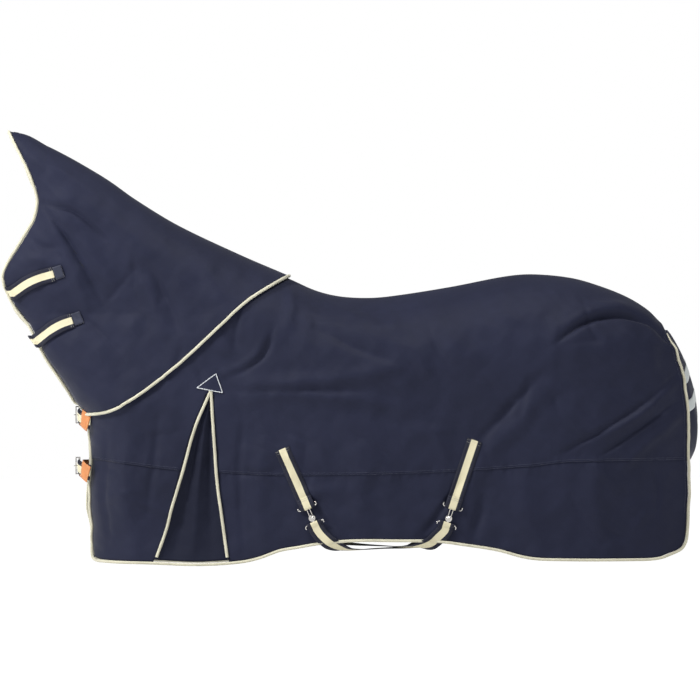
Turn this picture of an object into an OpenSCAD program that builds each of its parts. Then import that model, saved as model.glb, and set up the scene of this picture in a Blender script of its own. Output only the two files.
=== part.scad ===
// Combo turnout rug for a horse, as it hangs on the animal: body, fixed neck cover,
// tail flap, chest and belly straps. Millimetres. The origin is under the back seam
// at the withers, +X runs to the tail, +Z is up and the near (left) side is at -Y.

/* [Body] */
// Half the width of the rug at the belly
belly_half = 300; // [280:1:320]
// Half the width at the withers
withers_half = 276; // [266:1:284]
// Half the gap between the two rear edges
rear_half = 132; // [120:1:145]
// Depth over which the back rounds from the seam to the side
back_round = 250; // [220:1:280]
// Depth over which the chest rounds from the front edge to the side
chest_round = 170; // [140:1:200]

/* [Cloth] */
// Thickness of the outer shell
shell_t = 3; // [2:0.5:3]
// Thickness of the lining
lining_t = 1.5; // [1:0.5:1.5]
// Distance from the shell's face down to the lining
lining_drop = 9; // [8.5:0.5:10]
// Height of the neck cover's face above the body shell's face
cover_lift = 9; // [8:0.5:11]
// Radius of the piping along the edges
piping_r = 4.5; // [3:0.5:5]

/* [Straps] */
// Width of the webbing straps
web_w = 50; // [40:1:52]
// Thickness of the webbing
web_t = 2; // [1.5:0.5:2.5]
// Thickness of the chest straps' leather
leather_t = 3; // [2.5:0.5:3.5]

/* [Fittings] */
// Length of the fittings' cross bars, tip to tip
bar_len = 68; // [62:1:72]
// Radius of the fittings' rod
rod_r = 2.3; // [2:0.1:2.6]
// Radius of the neck between the hook's disc and its head
stud_r = 3; // [2.5:0.1:3.5]

/* [Hidden] */

// ---- Colours ----
navy = [0.15, 0.17, 0.27];
deep_navy = [0.09, 0.10, 0.17];
cream = [0.90, 0.88, 0.74];
tan = [0.84, 0.52, 0.29];
steel = [0.78, 0.77, 0.75];
silver_grey = [0.78, 0.80, 0.80];

// ---- Profile of the rug in side view, as points [x, z] ----
// Crest and back, and its gentle run on behind the dock that only sets the rounding
top_line = [[-925, 478], [-865, 466], [-795, 427], [-706, 377], [-604, 314], [-512, 248],
  [-373, 163], [-165, 64], [0, -4], [86, -42], [165, -61], [260, -66], [343, -59], [528, -30],
  [710, 5], [800, 12], [927, 0], [1020, -26], [1112, -63], [1181, -106], [1226, -150],
  [1270, -182], [1330, -222]];
// Front of the whole rug, from the hem up to the poll, as [z, x]
front_line = [[-960, -652], [-900, -655], [-600, -661], [-450, -668], [-400, -708],
  [-327, -760], [-244, -818], [-178, -852], [-96, -908], [-30, -942], [0, -950], [31, -942],
  [86, -908], [149, -868], [200, -840], [240, -834], [280, -839], [323, -856], [380, -880],
  [436, -910], [480, -935]];
dock = [1226, -150];
neckline = [[-80, 25], [-130, -12], [-200, -66], [-300, -150], [-420, -252], [-540, -350],
  [-598, -418], [-661, -466]];
chest_edge = [[-661, -466], [-661, -520], [-660, -598]];
front_edge = [[-660, -598], [-658, -700], [-656, -800], [-655, -880], [-646, -920]];
rear_edge_upper = [dock, [1238, -182], [1272, -255], [1296, -315], [1304, -383],
  [1310, -475], [1312, -600]];
rear_edge_lower = [[1312, -600], [1312, -680], [1310, -772], [1303, -850], [1270, -898]];
seam_line = [[-660, -598], [-548, -611], [-396, -630], [-198, -643], [-26, -650],
  [406, -643], [789, -620], [904, -607], [1312, -600]];
hem_line = [[-646, -920], [-600, -930], [-462, -937], [-297, -943], [-165, -934],
  [-99, -920], [-33, -895], [26, -884], [102, -871], [205, -862], [356, -862], [482, -864],
  [584, -878], [683, -894], [766, -916], [835, -924], [1135, -926], [1205, -920], [1270, -898]];
// The pleat's two seams, from the patch to the hem
pleat_front = [[-266, -390], [-304, -478], [-324, -538], [-349, -634], [-386, -756],
  [-406, -832], [-441, -934]];
pleat_rear = [[-254, -390], [-248, -521], [-240, -641], [-234, -700], [-218, -812],
  [-200, -934]];
head_edge = [[-925, 478], [-900, 436], [-870, 380], [-846, 323], [-829, 274], [-824, 235],
  [-834, 193], [-858, 149], [-898, 86], [-932, 31], [-940, 0]];
throat_edge = [[-940, 0], [-932, -30], [-898, -96], [-842, -178], [-808, -244], [-750, -327],
  [-703, -400], [-668, -446]];
cover_edge = [[-10, 1], [-59, -26], [-122, -63], [-175, -106], [-221, -150], [-363, -280],
  [-508, -392], [-594, -434], [-668, -446]];

// ---- Plan of the rug: half width along its length, as [x, half width] ----
half_line = [[-940, 92], [-800, 118], [-600, 152], [-400, 196], [-200, 240],
  [0, withers_half], [180, belly_half - 3], [296, belly_half],
  [515, belly_half - 8],
  [900, belly_half - 14], [1100, belly_half - 48], [1220, rear_half + 70],
  [1290, rear_half + 22], [1330, rear_half - 6]];
// Half width of the chest and shoulder below the neck, up to the withers
chest_line = [[-700, 205], [-450, 228], [-200, 254], [0, withers_half]];
// How much of the half width is left at the front edge, as [z, share]
front_open = [[-960, 0.07], [-450, 0.08], [-330, 0.1], [-100, 0.35], [200, 0.53], [480, 0.53]];
neck_round = 130;
seam_gap = 1.5;
seam_drop = 1.8;
edge_gap = piping_r + 2;

// ---- Fittings and straps ----
hinge_z = -825;
hinge_y = belly_half + 1.5;
front_top = [-24, -562];
front_bar = [60, -755];
rear_top = [606, -533];
rear_bar = [532, -755];
bar_to_stud = 36;
chest_z = [-452, -620];
stud_to_eye = 17;
plate_t = 2.5;
plate_gap = 1;
strap_lift = 2;
patch_points = [[-241, -316], [-303, -362], [-219, -378]];
neck_strap_u = [[-905, -58], [-850, -38], [-800, -12], [-768, 6]];
neck_strap_l = [[-826, -212], [-790, -198], [-745, -172], [-706, -146]];
neck_tab_u = [[-765, 8], [-738, 23]];
neck_tab_l = [[-703, -144], [-677, -129]];

// ---- Smooth graphs and curves ----
function seg(p, x, i = 0) = i >= len(p) - 2 || x < p[i + 1][0] ? i : seg(p, x, i + 1);
function slope(p, i) =
  i == 0 ? (p[1][1] - p[0][1]) / (p[1][0] - p[0][0])
  : i == len(p) - 1 ? (p[i][1] - p[i - 1][1]) / (p[i][0] - p[i - 1][0])
  : (p[i + 1][1] - p[i - 1][1]) / (p[i + 1][0] - p[i - 1][0]);
function hermite(a, b, ma, mb, t) =
  a * (2 * pow(t, 3) - 3 * pow(t, 2) + 1) + ma * (pow(t, 3) - 2 * pow(t, 2) + t)
  + b * (3 * pow(t, 2) - 2 * pow(t, 3)) + mb * (pow(t, 3) - pow(t, 2));
function graph(p, x) =
  x <= p[0][0] ? p[0][1]
  : x >= p[len(p) - 1][0] ? p[len(p) - 1][1]
  : let (i = seg(p, x), w = p[i + 1][0] - p[i][0], t = (x - p[i][0]) / w)
    hermite(p[i][1], p[i + 1][1], slope(p, i) * w, slope(p, i + 1) * w, t);
function mix(a, b, t) = a * (1 - t) + b * t;
function clamp(t) = max(0, min(1, t));
function unit(v) = v / norm(v);
// Running length at each point of a polyline
function running(p, i = 0, s = 0) =
  i == len(p) - 1 ? [s] : concat([s], running(p, i + 1, s + norm(p[i + 1] - p[i])));
function tangent(p, c, i) =
  let (a = max(0, i - 1), b = min(len(p) - 1, i + 1)) (p[b] - p[a]) / (c[b] - c[a]);
function find(c, s, i = 0) = i >= len(c) - 2 || s < c[i + 1] ? i : find(c, s, i + 1);
// Point at share t of the length of a smooth curve through the points
function along(p, t) =
  let (c = running(p), s = clamp(t) * c[len(c) - 1], i = find(c, s), w = c[i + 1] - c[i])
  hermite(p[i], p[i + 1], tangent(p, c, i) * w, tangent(p, c, i + 1) * w, (s - c[i]) / w);
function sampled(p, n) = [for (i = [0:n]) along(p, i / n)];
function reversed(p) = [for (i = [len(p) - 1:-1:0]) p[i]];
// Points of a graph between two x values
function stretch_of(p, x0, x1, n) =
  [for (i = [0:n]) let (x = mix(x0, x1, i / n)) [x, graph(p, x)]];

// ---- The rug's surface ----
function ellipse_rise(t) = sqrt(max(0, 1 - pow(1 - clamp(t), 2)));
function half_at(x, z) =
  let (down = graph(top_line, x) - z,
    back = x - graph(front_line, z),
    round_top = x < 0 ? mix(neck_round, back_round, clamp((x + 900) / 900)) : back_round,
    round_front = z < -440 ? chest_round : mix(chest_round, neck_round, clamp((z + 440) / 300)),
    open = graph(front_open, z),
    low = x < 0 ? clamp((-z - 120) / 300) : 0)
  seam_gap + mix(graph(half_line, x), graph(chest_line, x), low) * ellipse_rise(down / round_top)
  * (open + (1 - open) * ellipse_rise(back / round_front));
// Point of the near side, lifted off the surface by the given amount
function side(x, z, lift = 0) =
  let (f = half_at(x, z),
    fx = (half_at(x + 2, z) - f) / 2,
    fz = (f - half_at(x, z - 2)) / 2)
  [x, -f, z] - lift * unit([fx, 1, fz]);

// Blend of four side-view curves: top and bottom run in u, left and right in v
function patch_xz(top, bottom, left, right, u, v) =
  along(top, u) * (1 - v) + along(bottom, u) * v + along(left, v) * (1 - u)
  + along(right, v) * u - top[0] * (1 - u) * (1 - v) - top[len(top) - 1] * u * (1 - v)
  - bottom[0] * (1 - u) * v - bottom[len(bottom) - 1] * u * v;
function patch_grid(top, bottom, left, right, us, vs, lift) =
  [for (u = us) [for (v = vs)
    let (p = patch_xz(top, bottom, left, right, u, v)) side(p[0], p[1], lift)]];
// Shares from a to b, set closer together at the start when power is above 1
function steps(a, b, n, power = 1) = [for (i = [0:n]) mix(a, b, pow(i / n, power))];

// ---- Solids from grids and paths ----
// Closed sheet between two grids of points; the keep list says which cells exist
module sheet(outer, inner, keep = undef) {
  n = len(outer) - 1;
  m = len(outer[0]) - 1;
  count = (n + 1) * (m + 1);
  function id(i, j, s) = s * count + i * (m + 1) + j;
  function has(i, j) =
    i >= 0 && j >= 0 && i < n && j < m && (is_undef(keep) || keep[i][j]);
  function quad(a, b, c, d) = [[a, b, c], [a, c, d]];
  function wall(a, b) = quad(b, a, a + count, b + count);
  faces = [for (i = [0:n - 1]) for (j = [0:m - 1]) if (has(i, j))
    let (a = id(i, j, 0), b = id(i + 1, j, 0), c = id(i + 1, j + 1, 0), d = id(i, j + 1, 0))
    each concat(quad(a, b, c, d), [for (t = quad(a, b, c, d)) [t[2], t[1], t[0]] + count * [1, 1, 1]],
      has(i, j - 1) ? [] : wall(a, b), has(i + 1, j) ? [] : wall(b, c),
      has(i, j + 1) ? [] : wall(c, d), has(i - 1, j) ? [] : wall(d, a))];
  polyhedron(points = [for (g = [outer, inner]) for (row = g) each row], faces = faces);
}
// Round bar along a path of 3D points
module tube(path, r, sides = 6) {
  n = len(path) - 1;
  dirs = [for (i = [0:n]) unit(path[min(n, i + 1)] - path[max(0, i - 1)])];
  rings = [for (i = [0:n])
    let (a = unit(cross(dirs[i], [0.31, 0.52, 0.79])), b = cross(dirs[i], a))
    [for (k = [0:sides - 1]) path[i] + r * (cos(360 * k / sides) * a + sin(360 * k / sides) * b)]];
  faces = concat([[for (k = [0:sides - 1]) k]],
    [for (i = [0:n - 1]) for (k = [0:sides - 1])
      let (a = i * sides + k, b = i * sides + (k + 1) % sides)
      each [[a, a + sides, b], [b, a + sides, b + sides]]],
    [[for (k = [sides - 1:-1:0]) n * sides + k]]);
  polyhedron(points = [for (ring = rings) each ring], faces = faces);
}
// Flat band along 3D points; each point has its own outward normal
module band(path, normals, width, thick) {
  n = len(path) - 1;
  function dir(i) = unit(path[min(n, i + 1)] - path[max(0, i - 1)]);
  function edge_dir(i) = unit(cross(dir(i), normals[i]));
  function face_dir(i) = cross(edge_dir(i), dir(i));
  function grid(lift) = [for (i = [0:n]) [for (s = [-0.5, 0.5])
    path[i] + s * width * edge_dir(i) + lift * face_dir(i)]];
  sheet(grid(thick / 2), grid(-thick / 2));
}
// Strap lying on the near side along side-view points; its start may stand higher by rise
function strap_grid(line, width, lift, n = 8, rise = 0, m = 2) =
  let (pts = sampled(line, n))
  [for (i = [0:n])
    let (d = unit(pts[min(n, i + 1)] - pts[max(0, i - 1)]), side_dir = [d[1], -d[0]])
    [for (j = [0:m])
      let (p = pts[i] + side_dir * width * (j / m - 0.5))
      side(p[0], p[1], lift + rise * pow(1 - i / n, 2))]];
module side_strap(line, width, lift, thick, n = 8, rise = 0) {
  sheet(strap_grid(line, width, lift + thick, n, rise), strap_grid(line, width, lift, n, rise));
}
// Same point, just beside the middle of the rug
function beside_middle(p) = [p[0], -piping_r - 0.3, p[2]];
module far() { mirror([0, 1, 0]) children(); }

// ---- Body of the rug ----
tip_share = 0.645;
front_column = [[-230, graph(top_line, -230)], [-274, -380], [-311, -478], [-331, -538], [-356, -634]];
rear_column = [[-190, graph(top_line, -190)], [-246, -380], [-241, -521], [-234, -580], [-232, -641]];
neck_side = concat(neckline, [chest_edge[1], chest_edge[2]]);
slit_rows = 12;
// Shares of the columns ahead of the pleat, closer together where the chest rounds
front_cols = 9;
front_us = steps(0, 1, front_cols, 1.5);
rows = concat(steps(0, tip_share, slit_rows, 1.7), [for (k = [1:4]) mix(tip_share, 1, k / 4)]);
function lowered(p, dz) = [for (q = p) [q[0], q[1] + dz]];
function shifted(p, dx) = [for (q = p) [q[0] + dx, q[1]]];
// Line moved sideways by the given amount, to the left of its direction
function beside(p, d) =
  let (n = len(p) - 1)
  [for (i = [0:n])
    let (t = unit(p[min(n, i + 1)] - p[max(0, i - 1)])) p[i] + d * [-t[1], t[0]]];

// The upper side runs in one piece round the top of the pleat's slit
function side_blocks(lift) =
  concat(
    patch_grid(stretch_of(top_line, -80, -230, 6), stretch_of(seam_line, -660, -356, 6),
      neck_side, front_column, front_us, rows, lift),
    patch_grid(stretch_of(top_line, -190, dock[0], 16), stretch_of(seam_line, -232, 1312, 16),
      rear_column, rear_edge_upper, [for (k = [0:22]) 1 - pow(1 - k / 22, 1.25)], rows, lift));
module side_panel() {
  outer = side_blocks(0);
  cells = [for (i = [0:len(outer) - 2]) [for (j = [0:len(rows) - 2]) i != front_cols || j < slit_rows]];
  sheet(outer, side_blocks(-shell_t), cells);
}
module lower_front_panel() {
  top = lowered(stretch_of(seam_line, -660, -356, 6), -seam_drop);
  bottom = stretch_of(hem_line, -646, -452, 6);
  right = concat([top[6]], [[-393, -756], [-413, -832]], [bottom[6]]);
  left = concat([top[0]], [for (k = [1:4]) front_edge[k]]);
  vs = steps(0, 1, 6);
  sheet(patch_grid(top, bottom, left, right, front_us, vs, 0),
    patch_grid(top, bottom, left, right, front_us, vs, -shell_t));
}
module lower_rear_panel() {
  top = lowered(stretch_of(seam_line, -232, 1312, 18), -seam_drop);
  bottom = concat(stretch_of(hem_line, -192, 1205, 24), [[1270, -898]]);
  left = concat([top[0]], [[-227, -700], [-211, -812]], [bottom[0]]);
  right = concat([top[18]], [for (k = [1:4]) rear_edge_lower[k]]);
  us = [for (k = [0:24]) 1 - pow(1 - k / 24, 1.2)];
  vs = steps(0, 1, 6);
  sheet(patch_grid(top, bottom, left, right, us, vs, 0),
    patch_grid(top, bottom, left, right, us, vs, -shell_t));
}
// The pleat's cloth lies behind the slit and laps under both of its edges
module gusset() {
  lap = 13;
  top = [[-276, -352], [-244, -352]];
  left = concat([top[0]], shifted(pleat_front, -lap));
  right = concat([top[1]], shifted(pleat_rear, lap));
  bottom = [[-454, -932], [-300, -936], [-187, -932]];
  us = steps(0, 1, 4);
  vs = steps(0, 1, 12);
  face = -shell_t - 1.3;
  sheet(patch_grid(top, bottom, left, right, us, vs, face),
    patch_grid(top, bottom, left, right, us, vs, face - 2));
}
module gusset_piping() {
  start = 0.02;
  for (line = [pleat_front, pleat_rear])
    tube([for (k = [0:16]) let (p = along(line, mix(start, 0.985, k / 16))) side(p[0], p[1], 1.6)],
      piping_r);
}
module body_lining() {
  top = stretch_of(top_line, -92, 1205, 20);
  bottom = lowered(concat(stretch_of(hem_line, -632, 1190, 28), [[1250, -895]]), 18);
  left = concat([top[0]], shifted([for (k = [1:7]) neckline[k]], 6),
    [[-645, -598], [-641, -800], bottom[0]]);
  right = [top[20], [1222, -182], [1256, -255], [1278, -315], [1286, -383], [1290, -475],
    [1292, -600], [1290, -772], [1280, -850], bottom[29]];
  us = concat(steps(0, 0.16, 7, 1.5), [for (k = [1:17]) mix(0.16, 1, k / 17)]);
  vs = steps(0, 1, 16, 1.7);
  sheet(patch_grid(top, bottom, left, right, us, vs, -lining_drop),
    patch_grid(top, bottom, left, right, us, vs, -lining_drop - lining_t));
}
// Tape over the back seam, inside the shell and above the lining
module back_seam_tape() {
  function rib(x, dz) = [for (y = [16, 0, -16]) [x, y, graph(top_line, x) - dz - 0.0028 * y * y]];
  xs = [for (k = [0:26]) mix(-70, 1190, k / 26)];
  sheet([for (x = xs) rib(x, 5)], [for (x = xs) rib(x, 6.3)]);
}
// One binding down the front edge, along the hem and up the rear edge
module body_binding() {
  front = sampled(beside(concat(chest_edge, [for (k = [1:3]) front_edge[k]]), -edge_gap), 12);
  hem = lowered(stretch_of(hem_line, -638, 1225, 44), -edge_gap);
  rear = sampled(beside(reversed(concat(rear_edge_upper, [for (k = [1:3]) rear_edge_lower[k]])),
    -edge_gap), 22);
  corner_front = [[-661, -892], [-656, -916]];
  corner_rear = [[1262, -914], [1296, -884]];
  route = concat(front, corner_front, hem, corner_rear, rear);
  tube([for (k = [0:len(route) - 1]) let (p = side(route[k][0], route[k][1], -2.4))
    k < len(route) - 1 ? p : beside_middle(p)], piping_r);
}

// ---- Neck cover ----
cover_us = concat([0, 0.015], [for (k = [1:18]) k / 19], [0.985, 1]);
cover_vs = concat(steps(0, 0.55, 9, 2), [for (k = [1:7]) mix(0.55, 1, k / 7)]);
function cover_grid(lift) =
  patch_grid(stretch_of(top_line, -925, -10, 18), throat_edge, head_edge, cover_edge,
    cover_us, cover_vs, lift);
module neck_panel() { sheet(cover_grid(cover_lift), cover_grid(cover_lift - shell_t + 0.4)); }
// The lining stops short of the edges, and of the body's front where the cover laps over it
module neck_lining() {
  top = cover_lift - shell_t - 0.4;
  cells = [for (i = [0:len(cover_us) - 2]) [for (j = [0:len(cover_vs) - 2])
    i > 0 && cover_us[i + 1] < 0.85 && j < len(cover_vs) - 2]];
  sheet(cover_grid(top), cover_grid(top - lining_t), cells);
}
module edge_cord(route) {
  tube([for (k = [0:len(route) - 1]) let (p = side(route[k][0], route[k][1], cover_lift - 1.3))
    k > 0 ? p : beside_middle(p)], piping_r);
}
module neck_edge_piping() {
  head = [for (v = cover_vs) along(head_edge, v)];
  throat = [for (u = cover_us) if (u > 0 && u < 0.94) along(throat_edge, u)];
  edge_cord(beside(concat(head, throat), -edge_gap));
}
module neck_seam_piping() {
  edge_cord(beside([for (v = cover_vs) along(cover_edge, 0.97 * v)], edge_gap + 1));
}
patch_tip = 0.5;
module patch() {
  function grid(lift) = [for (k = [0:4])
    let (top = mix(patch_points[1], patch_points[0], k / 4),
      low = mix(patch_points[1], patch_points[2], k / 4))
    [for (e = [0, 0.5, 1])
      let (p = mix(top, low, e)) side(p[0], p[1] - patch_tip * e, lift)]];
  sheet(grid(strap_lift + 1), grid(strap_lift));
}

// ---- Neck straps: the near end peels off, the far end is sewn down ----
strap_face = cover_lift + strap_lift + 1.4;
// Extra height where a strap climbs over the edge piping
edge_rise = 4;
// Band from the near face round the open front to the far edge
module neck_strap(line) {
  lower = line[0];
  d = unit(line[1] - line[0]);
  s = [d[1], -d[0]];
  function edge_point(w, y) =
    let (p = lower + s * w, x = graph(front_line, p[1] - 14) - edge_gap - piping_r) [x, y, p[1] - 14];
  function wrap(w, lift) =
      let (f = half_at(graph(front_line, lower[1]) + 10, lower[1]) + cover_lift,
      e = edge_point(w, 0), a = e[0] - lift)
    [[a, f - 22, e[2]], [a - 4, 0, e[2]], [a, -f - 3 - edge_rise - lift, e[2]]];
  function grid(lift) = concat(
    [for (r = [0:2]) [for (w = [-0.5, 0, 0.5]) wrap(w * web_w, lift)[r]]],
    strap_grid(line, web_w, strap_face + lift, 8, edge_rise));
  sheet(grid(web_t), grid(0));
}
module neck_tab(line) { side_strap(line, web_w - 1, strap_face, web_t + 0.6, 2); }
// Sewn part of the strap on the far side
module neck_strap_base(line) {
  d = unit(line[1] - line[0]);
  far() side_strap([line[0] + d * 8, line[0] + d * 120], web_w, strap_face, web_t, 5, edge_rise);
}

// ---- Tail flap ----
flap_line = [[-160, 1233], [-188, 1256], [-254, 1292], [-314, 1315], [-370, 1331], [-452, 1344],
  [-498, 1344], [-561, 1334], [-597, 1318]];
function flap_x(z) = graph(reversed(flap_line), z);
function rear_x(z) = graph(reversed([for (p = rear_edge_upper) [p[1], p[0]]]), z);
function flap_half(z) = min(rear_half - 20, 0.82 * half_at(rear_x(z), z) - 16);
function flap_point(z, s, lift) =
  let (w = max(6, flap_half(z)), drop = flap_x(z) - rear_x(z) - 3)
  [flap_x(z) - max(0, drop) * s * s + lift, s * w, z];
module flap_sheet(z0, z1, n, lift, thick, reach = 1, slant = 0) {
  function grid(l) = [for (i = [0:n]) [for (s = [-1:0.25:1])
    let (z = mix(z0, z1, i / n) - slant * abs(s)) flap_point(z, s * reach, l)]];
  sheet(grid(lift), grid(lift + thick));
}
module tail_flap() { flap_sheet(-182, -596, 14, 0, shell_t); }
module tail_band(z0) { flap_sheet(z0, z0 - 38, 3, shell_t + 0.5, 0.8, 0.97, 26); }

// ---- Chest closures ----
chest_x = -697;
chest_reach = 98;
buckle_y = 34;
// Route round the chest at height z, from y0 on the near panel to y1 on the far panel
function chest_point(z, y) =
  [chest_x + 39 * pow(abs(y) / chest_reach, 2.2), y, z + (y < 0 ? 0.22 * y : 0)];
function chest_route(z, y0, y1, n) = [for (i = [0:n]) chest_point(z, mix(y0, y1, i / n))];
function flat_normals(route) = [for (i = [0:len(route) - 1])
  let (t = unit(route[min(len(route) - 1, i + 1)] - route[max(0, i - 1)])) [-t[1], t[0], 0]];
module chest_band(z, y0, y1, n, width, lift, thick) {
  route = chest_route(z, y0, y1, n);
  normals = flat_normals(route);
  band([for (i = [0:n]) route[i] + lift * unit(normals[i])], normals, width, thick);
}
module chest_web(z) { chest_band(z, -chest_reach, 6, 10, web_w, 0, web_t); }
module chest_billet(z) { chest_band(z, -84, 46, 12, 40, web_t / 2 + leather_t / 2 + 0.4, leather_t); }
module rod(a, b, r) {
  d = b - a;
  translate(a) rotate([0, acos(d[2] / norm(d)), atan2(d[1], d[0])])
    cylinder(h = norm(d), r = r, $fn = 32);
}
// Local frame of a chest buckle: -X is outward, Y runs round the chest
module buckle_frame(z) {
  p = chest_point(z, buckle_y);
  translate([p[0] - web_t / 2 - leather_t - 3.6, p[1], p[2]]) rotate([0, 0, -17]) children();
}
buckle_w = 40;
buckle_h = 54;
module chest_buckle(z) {
  buckle_frame(z) {
    for (y = [-buckle_w / 2, buckle_w / 2]) rod([0, y, -buckle_h / 2], [0, y, buckle_h / 2], 2);
    for (h = [-buckle_h / 2, buckle_h / 2]) {
      rod([0, -buckle_w / 2, h], [0, buckle_w / 2, h], 2);
      for (y = [-buckle_w / 2, buckle_w / 2]) translate([0, y, h]) sphere(r = 2, $fn = 32);
    }
  }
}
// Tongue: an eye round the far bar, and a pin that rests across the near bar
tongue_gap = 0.3;
module chest_tongue(z) {
  buckle_frame(z) {
    difference() {
      translate([0, buckle_w / 2, -3]) cylinder(h = 6, r = 4.3, $fn = 32);
      translate([0, buckle_w / 2, -4]) cylinder(h = 8, r = 2 + tongue_gap, $fn = 32);
    }
    rod([-4.2, buckle_w / 2 - 1, 0], [-4.2, -buckle_w / 2 - 5, 0], 1.7);
  }
}
// Far web with its fold round the buckle's far bar, cut away for the tongue
module chest_chape(z) {
  bar = chest_point(z, buckle_y + buckle_w / 2) + [-6.2, 0.6, 0];
  route = [for (t = [0:0.2:1]) mix(bar, chest_point(z, chest_reach - 6), t) + [-6 * t * (1 - t), 0, 0]];
  difference() {
    union() {
      band(route, flat_normals(route), 40, web_t);
      buckle_frame(z) translate([0, buckle_w / 2, -20]) cylinder(h = 40, r = 4.4, $fn = 32);
    }
    buckle_frame(z) translate([0, buckle_w / 2, -21])
      cylinder(h = 42, r = 2 + tongue_gap, $fn = 32);
    buckle_frame(z) translate([-10, buckle_w / 2 - 10, -4]) cube([20, 17, 8]);
  }
}

// ---- Belly straps: hooks, eyes and webbing ----
bar_lift = strap_lift + web_t + 0.5 + rod_r;
// Turn about Z that lays a fitting along the rug's side
function turn_at(bar) =
  -atan((half_at(bar[0] + bar_len / 2, bar[1]) - half_at(bar[0] - bar_len / 2, bar[1])) / bar_len);
function lean_of(top, bar) = let (d = unit(top - bar)) atan2(d[0], d[1]);
// Directions of a strap's fitting: up along the strap, and out from the rug
function up_of(top, bar) =
  let (d = unit(top - bar), t = turn_at(bar)) [d[0] * cos(t), d[0] * sin(t), d[1]];
function out_of(bar) = let (t = turn_at(bar)) [sin(t), -cos(t), 0];
function bar_at(bar) = [bar[0], -half_at(bar[0], bar[1]) - bar_lift, bar[1]];
function stud_at(top, bar) = bar_at(bar) - bar_to_stud * up_of(top, bar);
eye_out = plate_t + plate_gap;
function eye_at(top, bar) =
  stud_at(top, bar) + eye_out * out_of(bar) - stud_to_eye * up_of(top, bar);
// Local frame at a point: X along the bar, Z up the strap, -Y outward
module fitting(at, top, bar) {
  translate(at) rotate([0, lean_of(top, bar), turn_at(bar)]) children();
}
curl_r = 6;
// Cross bar whose two ends curl up
module curled_bar() {
  straight = bar_len / 2 - curl_r - rod_r;
  rod([-straight, 0, 0], [straight, 0, 0], rod_r);
  for (s = [0, 1]) mirror([s, 0, 0]) translate([straight, 0, curl_r]) {
    rotate([90, 0, 0]) rotate([0, 0, -90]) rotate_extrude(angle = 90, $fn = 48)
      translate([curl_r, 0]) circle(r = rod_r, $fn = 32);
    translate([curl_r, 0, 0]) cylinder(h = 3, r = rod_r, $fn = 32);
    translate([curl_r, 0, 3]) sphere(r = rod_r, $fn = 32);
  }
}
disc_r = 9;
head_r = 6.5;
post_x = 5;
post_r = 1.8;
// Fold of webbing round a bar, notched where the fitting's posts leave the bar
module web_fold(leg = 36) {
  inner = rod_r + 0.5;
  outer = inner + web_t;
  notch = post_x + post_r + 0.6;
  arc = [for (a = [180:20:360]) [cos(a), sin(a)]];
  difference() {
    rotate([90, 0, -90]) linear_extrude(height = web_w - 2, center = true)
      polygon(concat([[-outer, leg]], [for (p = arc) outer * p],
        [[-inner + 0.1 + web_t, leg], [-inner + 0.1, leg]],
        [for (k = [len(arc) - 1:-1:0]) inner * arc[k]], [[-inner, leg]]));
    translate([-notch, -2 * outer, -2 * outer]) cube([2 * notch, 4 * outer, 2 * outer]);
  }
}
module surcingle_web(top, bar) {
  end = bar + (top - bar) * 0.03;
  side_strap([top, mix(top, end, 0.33), mix(top, end, 0.67), end], web_w, strap_lift, web_t, 6);
  fitting(bar_at(bar), top, bar) web_fold();
}
module surcingle_hook(top, bar) {
  fitting(bar_at(bar), top, bar) {
    curled_bar();
    for (x = [-post_x, post_x]) rod([x, 0, 0], [x, 0, disc_r - 3 - bar_to_stud], post_r);
    translate([0, 0, -bar_to_stud]) rotate([90, 0, 0]) {
      translate([0, 0, -plate_t / 2]) cylinder(h = plate_t, r = disc_r, $fn = 48);
      cylinder(h = 3 * plate_t / 2 + 2 * plate_gap + 0.2, r = stud_r, $fn = 32);
      translate([0, 0, 3 * plate_t / 2 + 2 * plate_gap]) {
        cylinder(h = 1.5, r = head_r, $fn = 48);
        translate([0, 0, 1.4]) cylinder(h = 1.6, r1 = head_r, r2 = head_r - 2, $fn = 48);
      }
    }
  }
}
// Open eye that drops off the stud, with the lower cross bar on its stem
module surcingle_eye(top, bar) {
  stud = stud_at(top, bar);
  stem = 7;
  slot = 2 * stud_r + 2.4;
  difference() {
    fitting(stud, top, bar) {
      rotate([90, 0, 0]) translate([0, 0, eye_out - plate_t / 2])
        cylinder(h = plate_t, r = disc_r + 2, $fn = 48);
      translate([-stem / 2, -eye_out - plate_t / 2, -stud_to_eye])
        cube([stem, plate_t, stud_to_eye - disc_r + 3]);
    }
    fitting(stud, top, bar) rotate([90, 0, 0]) cylinder(h = 20, r = slot / 2, $fn = 32);
    translate(stud + [-slot / 2, -20, 0]) cube([slot, 20, disc_r + 6]);
  }
  fitting(eye_at(top, bar), top, bar) mirror([0, 0, 1]) curled_bar();
}
belly_x = 296;
// Where a cross strap, leaning towards the tail (turn 1) or the head (-1), ends on the far side
function cross_end_x(top, bar, turn) = 2 * belly_x - eye_at(top, bar)[0] - turn * 14;
// Depth below the eye at which a cross strap's fold ends and its flat run starts
fold_end = 33;
strap_clear = 7.5;
// Distance outside the panels at which a strap of full width passes the hem
function clear_at(x, turn) = half_at(x + turn * 20, hinge_z) + strap_clear;
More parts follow.
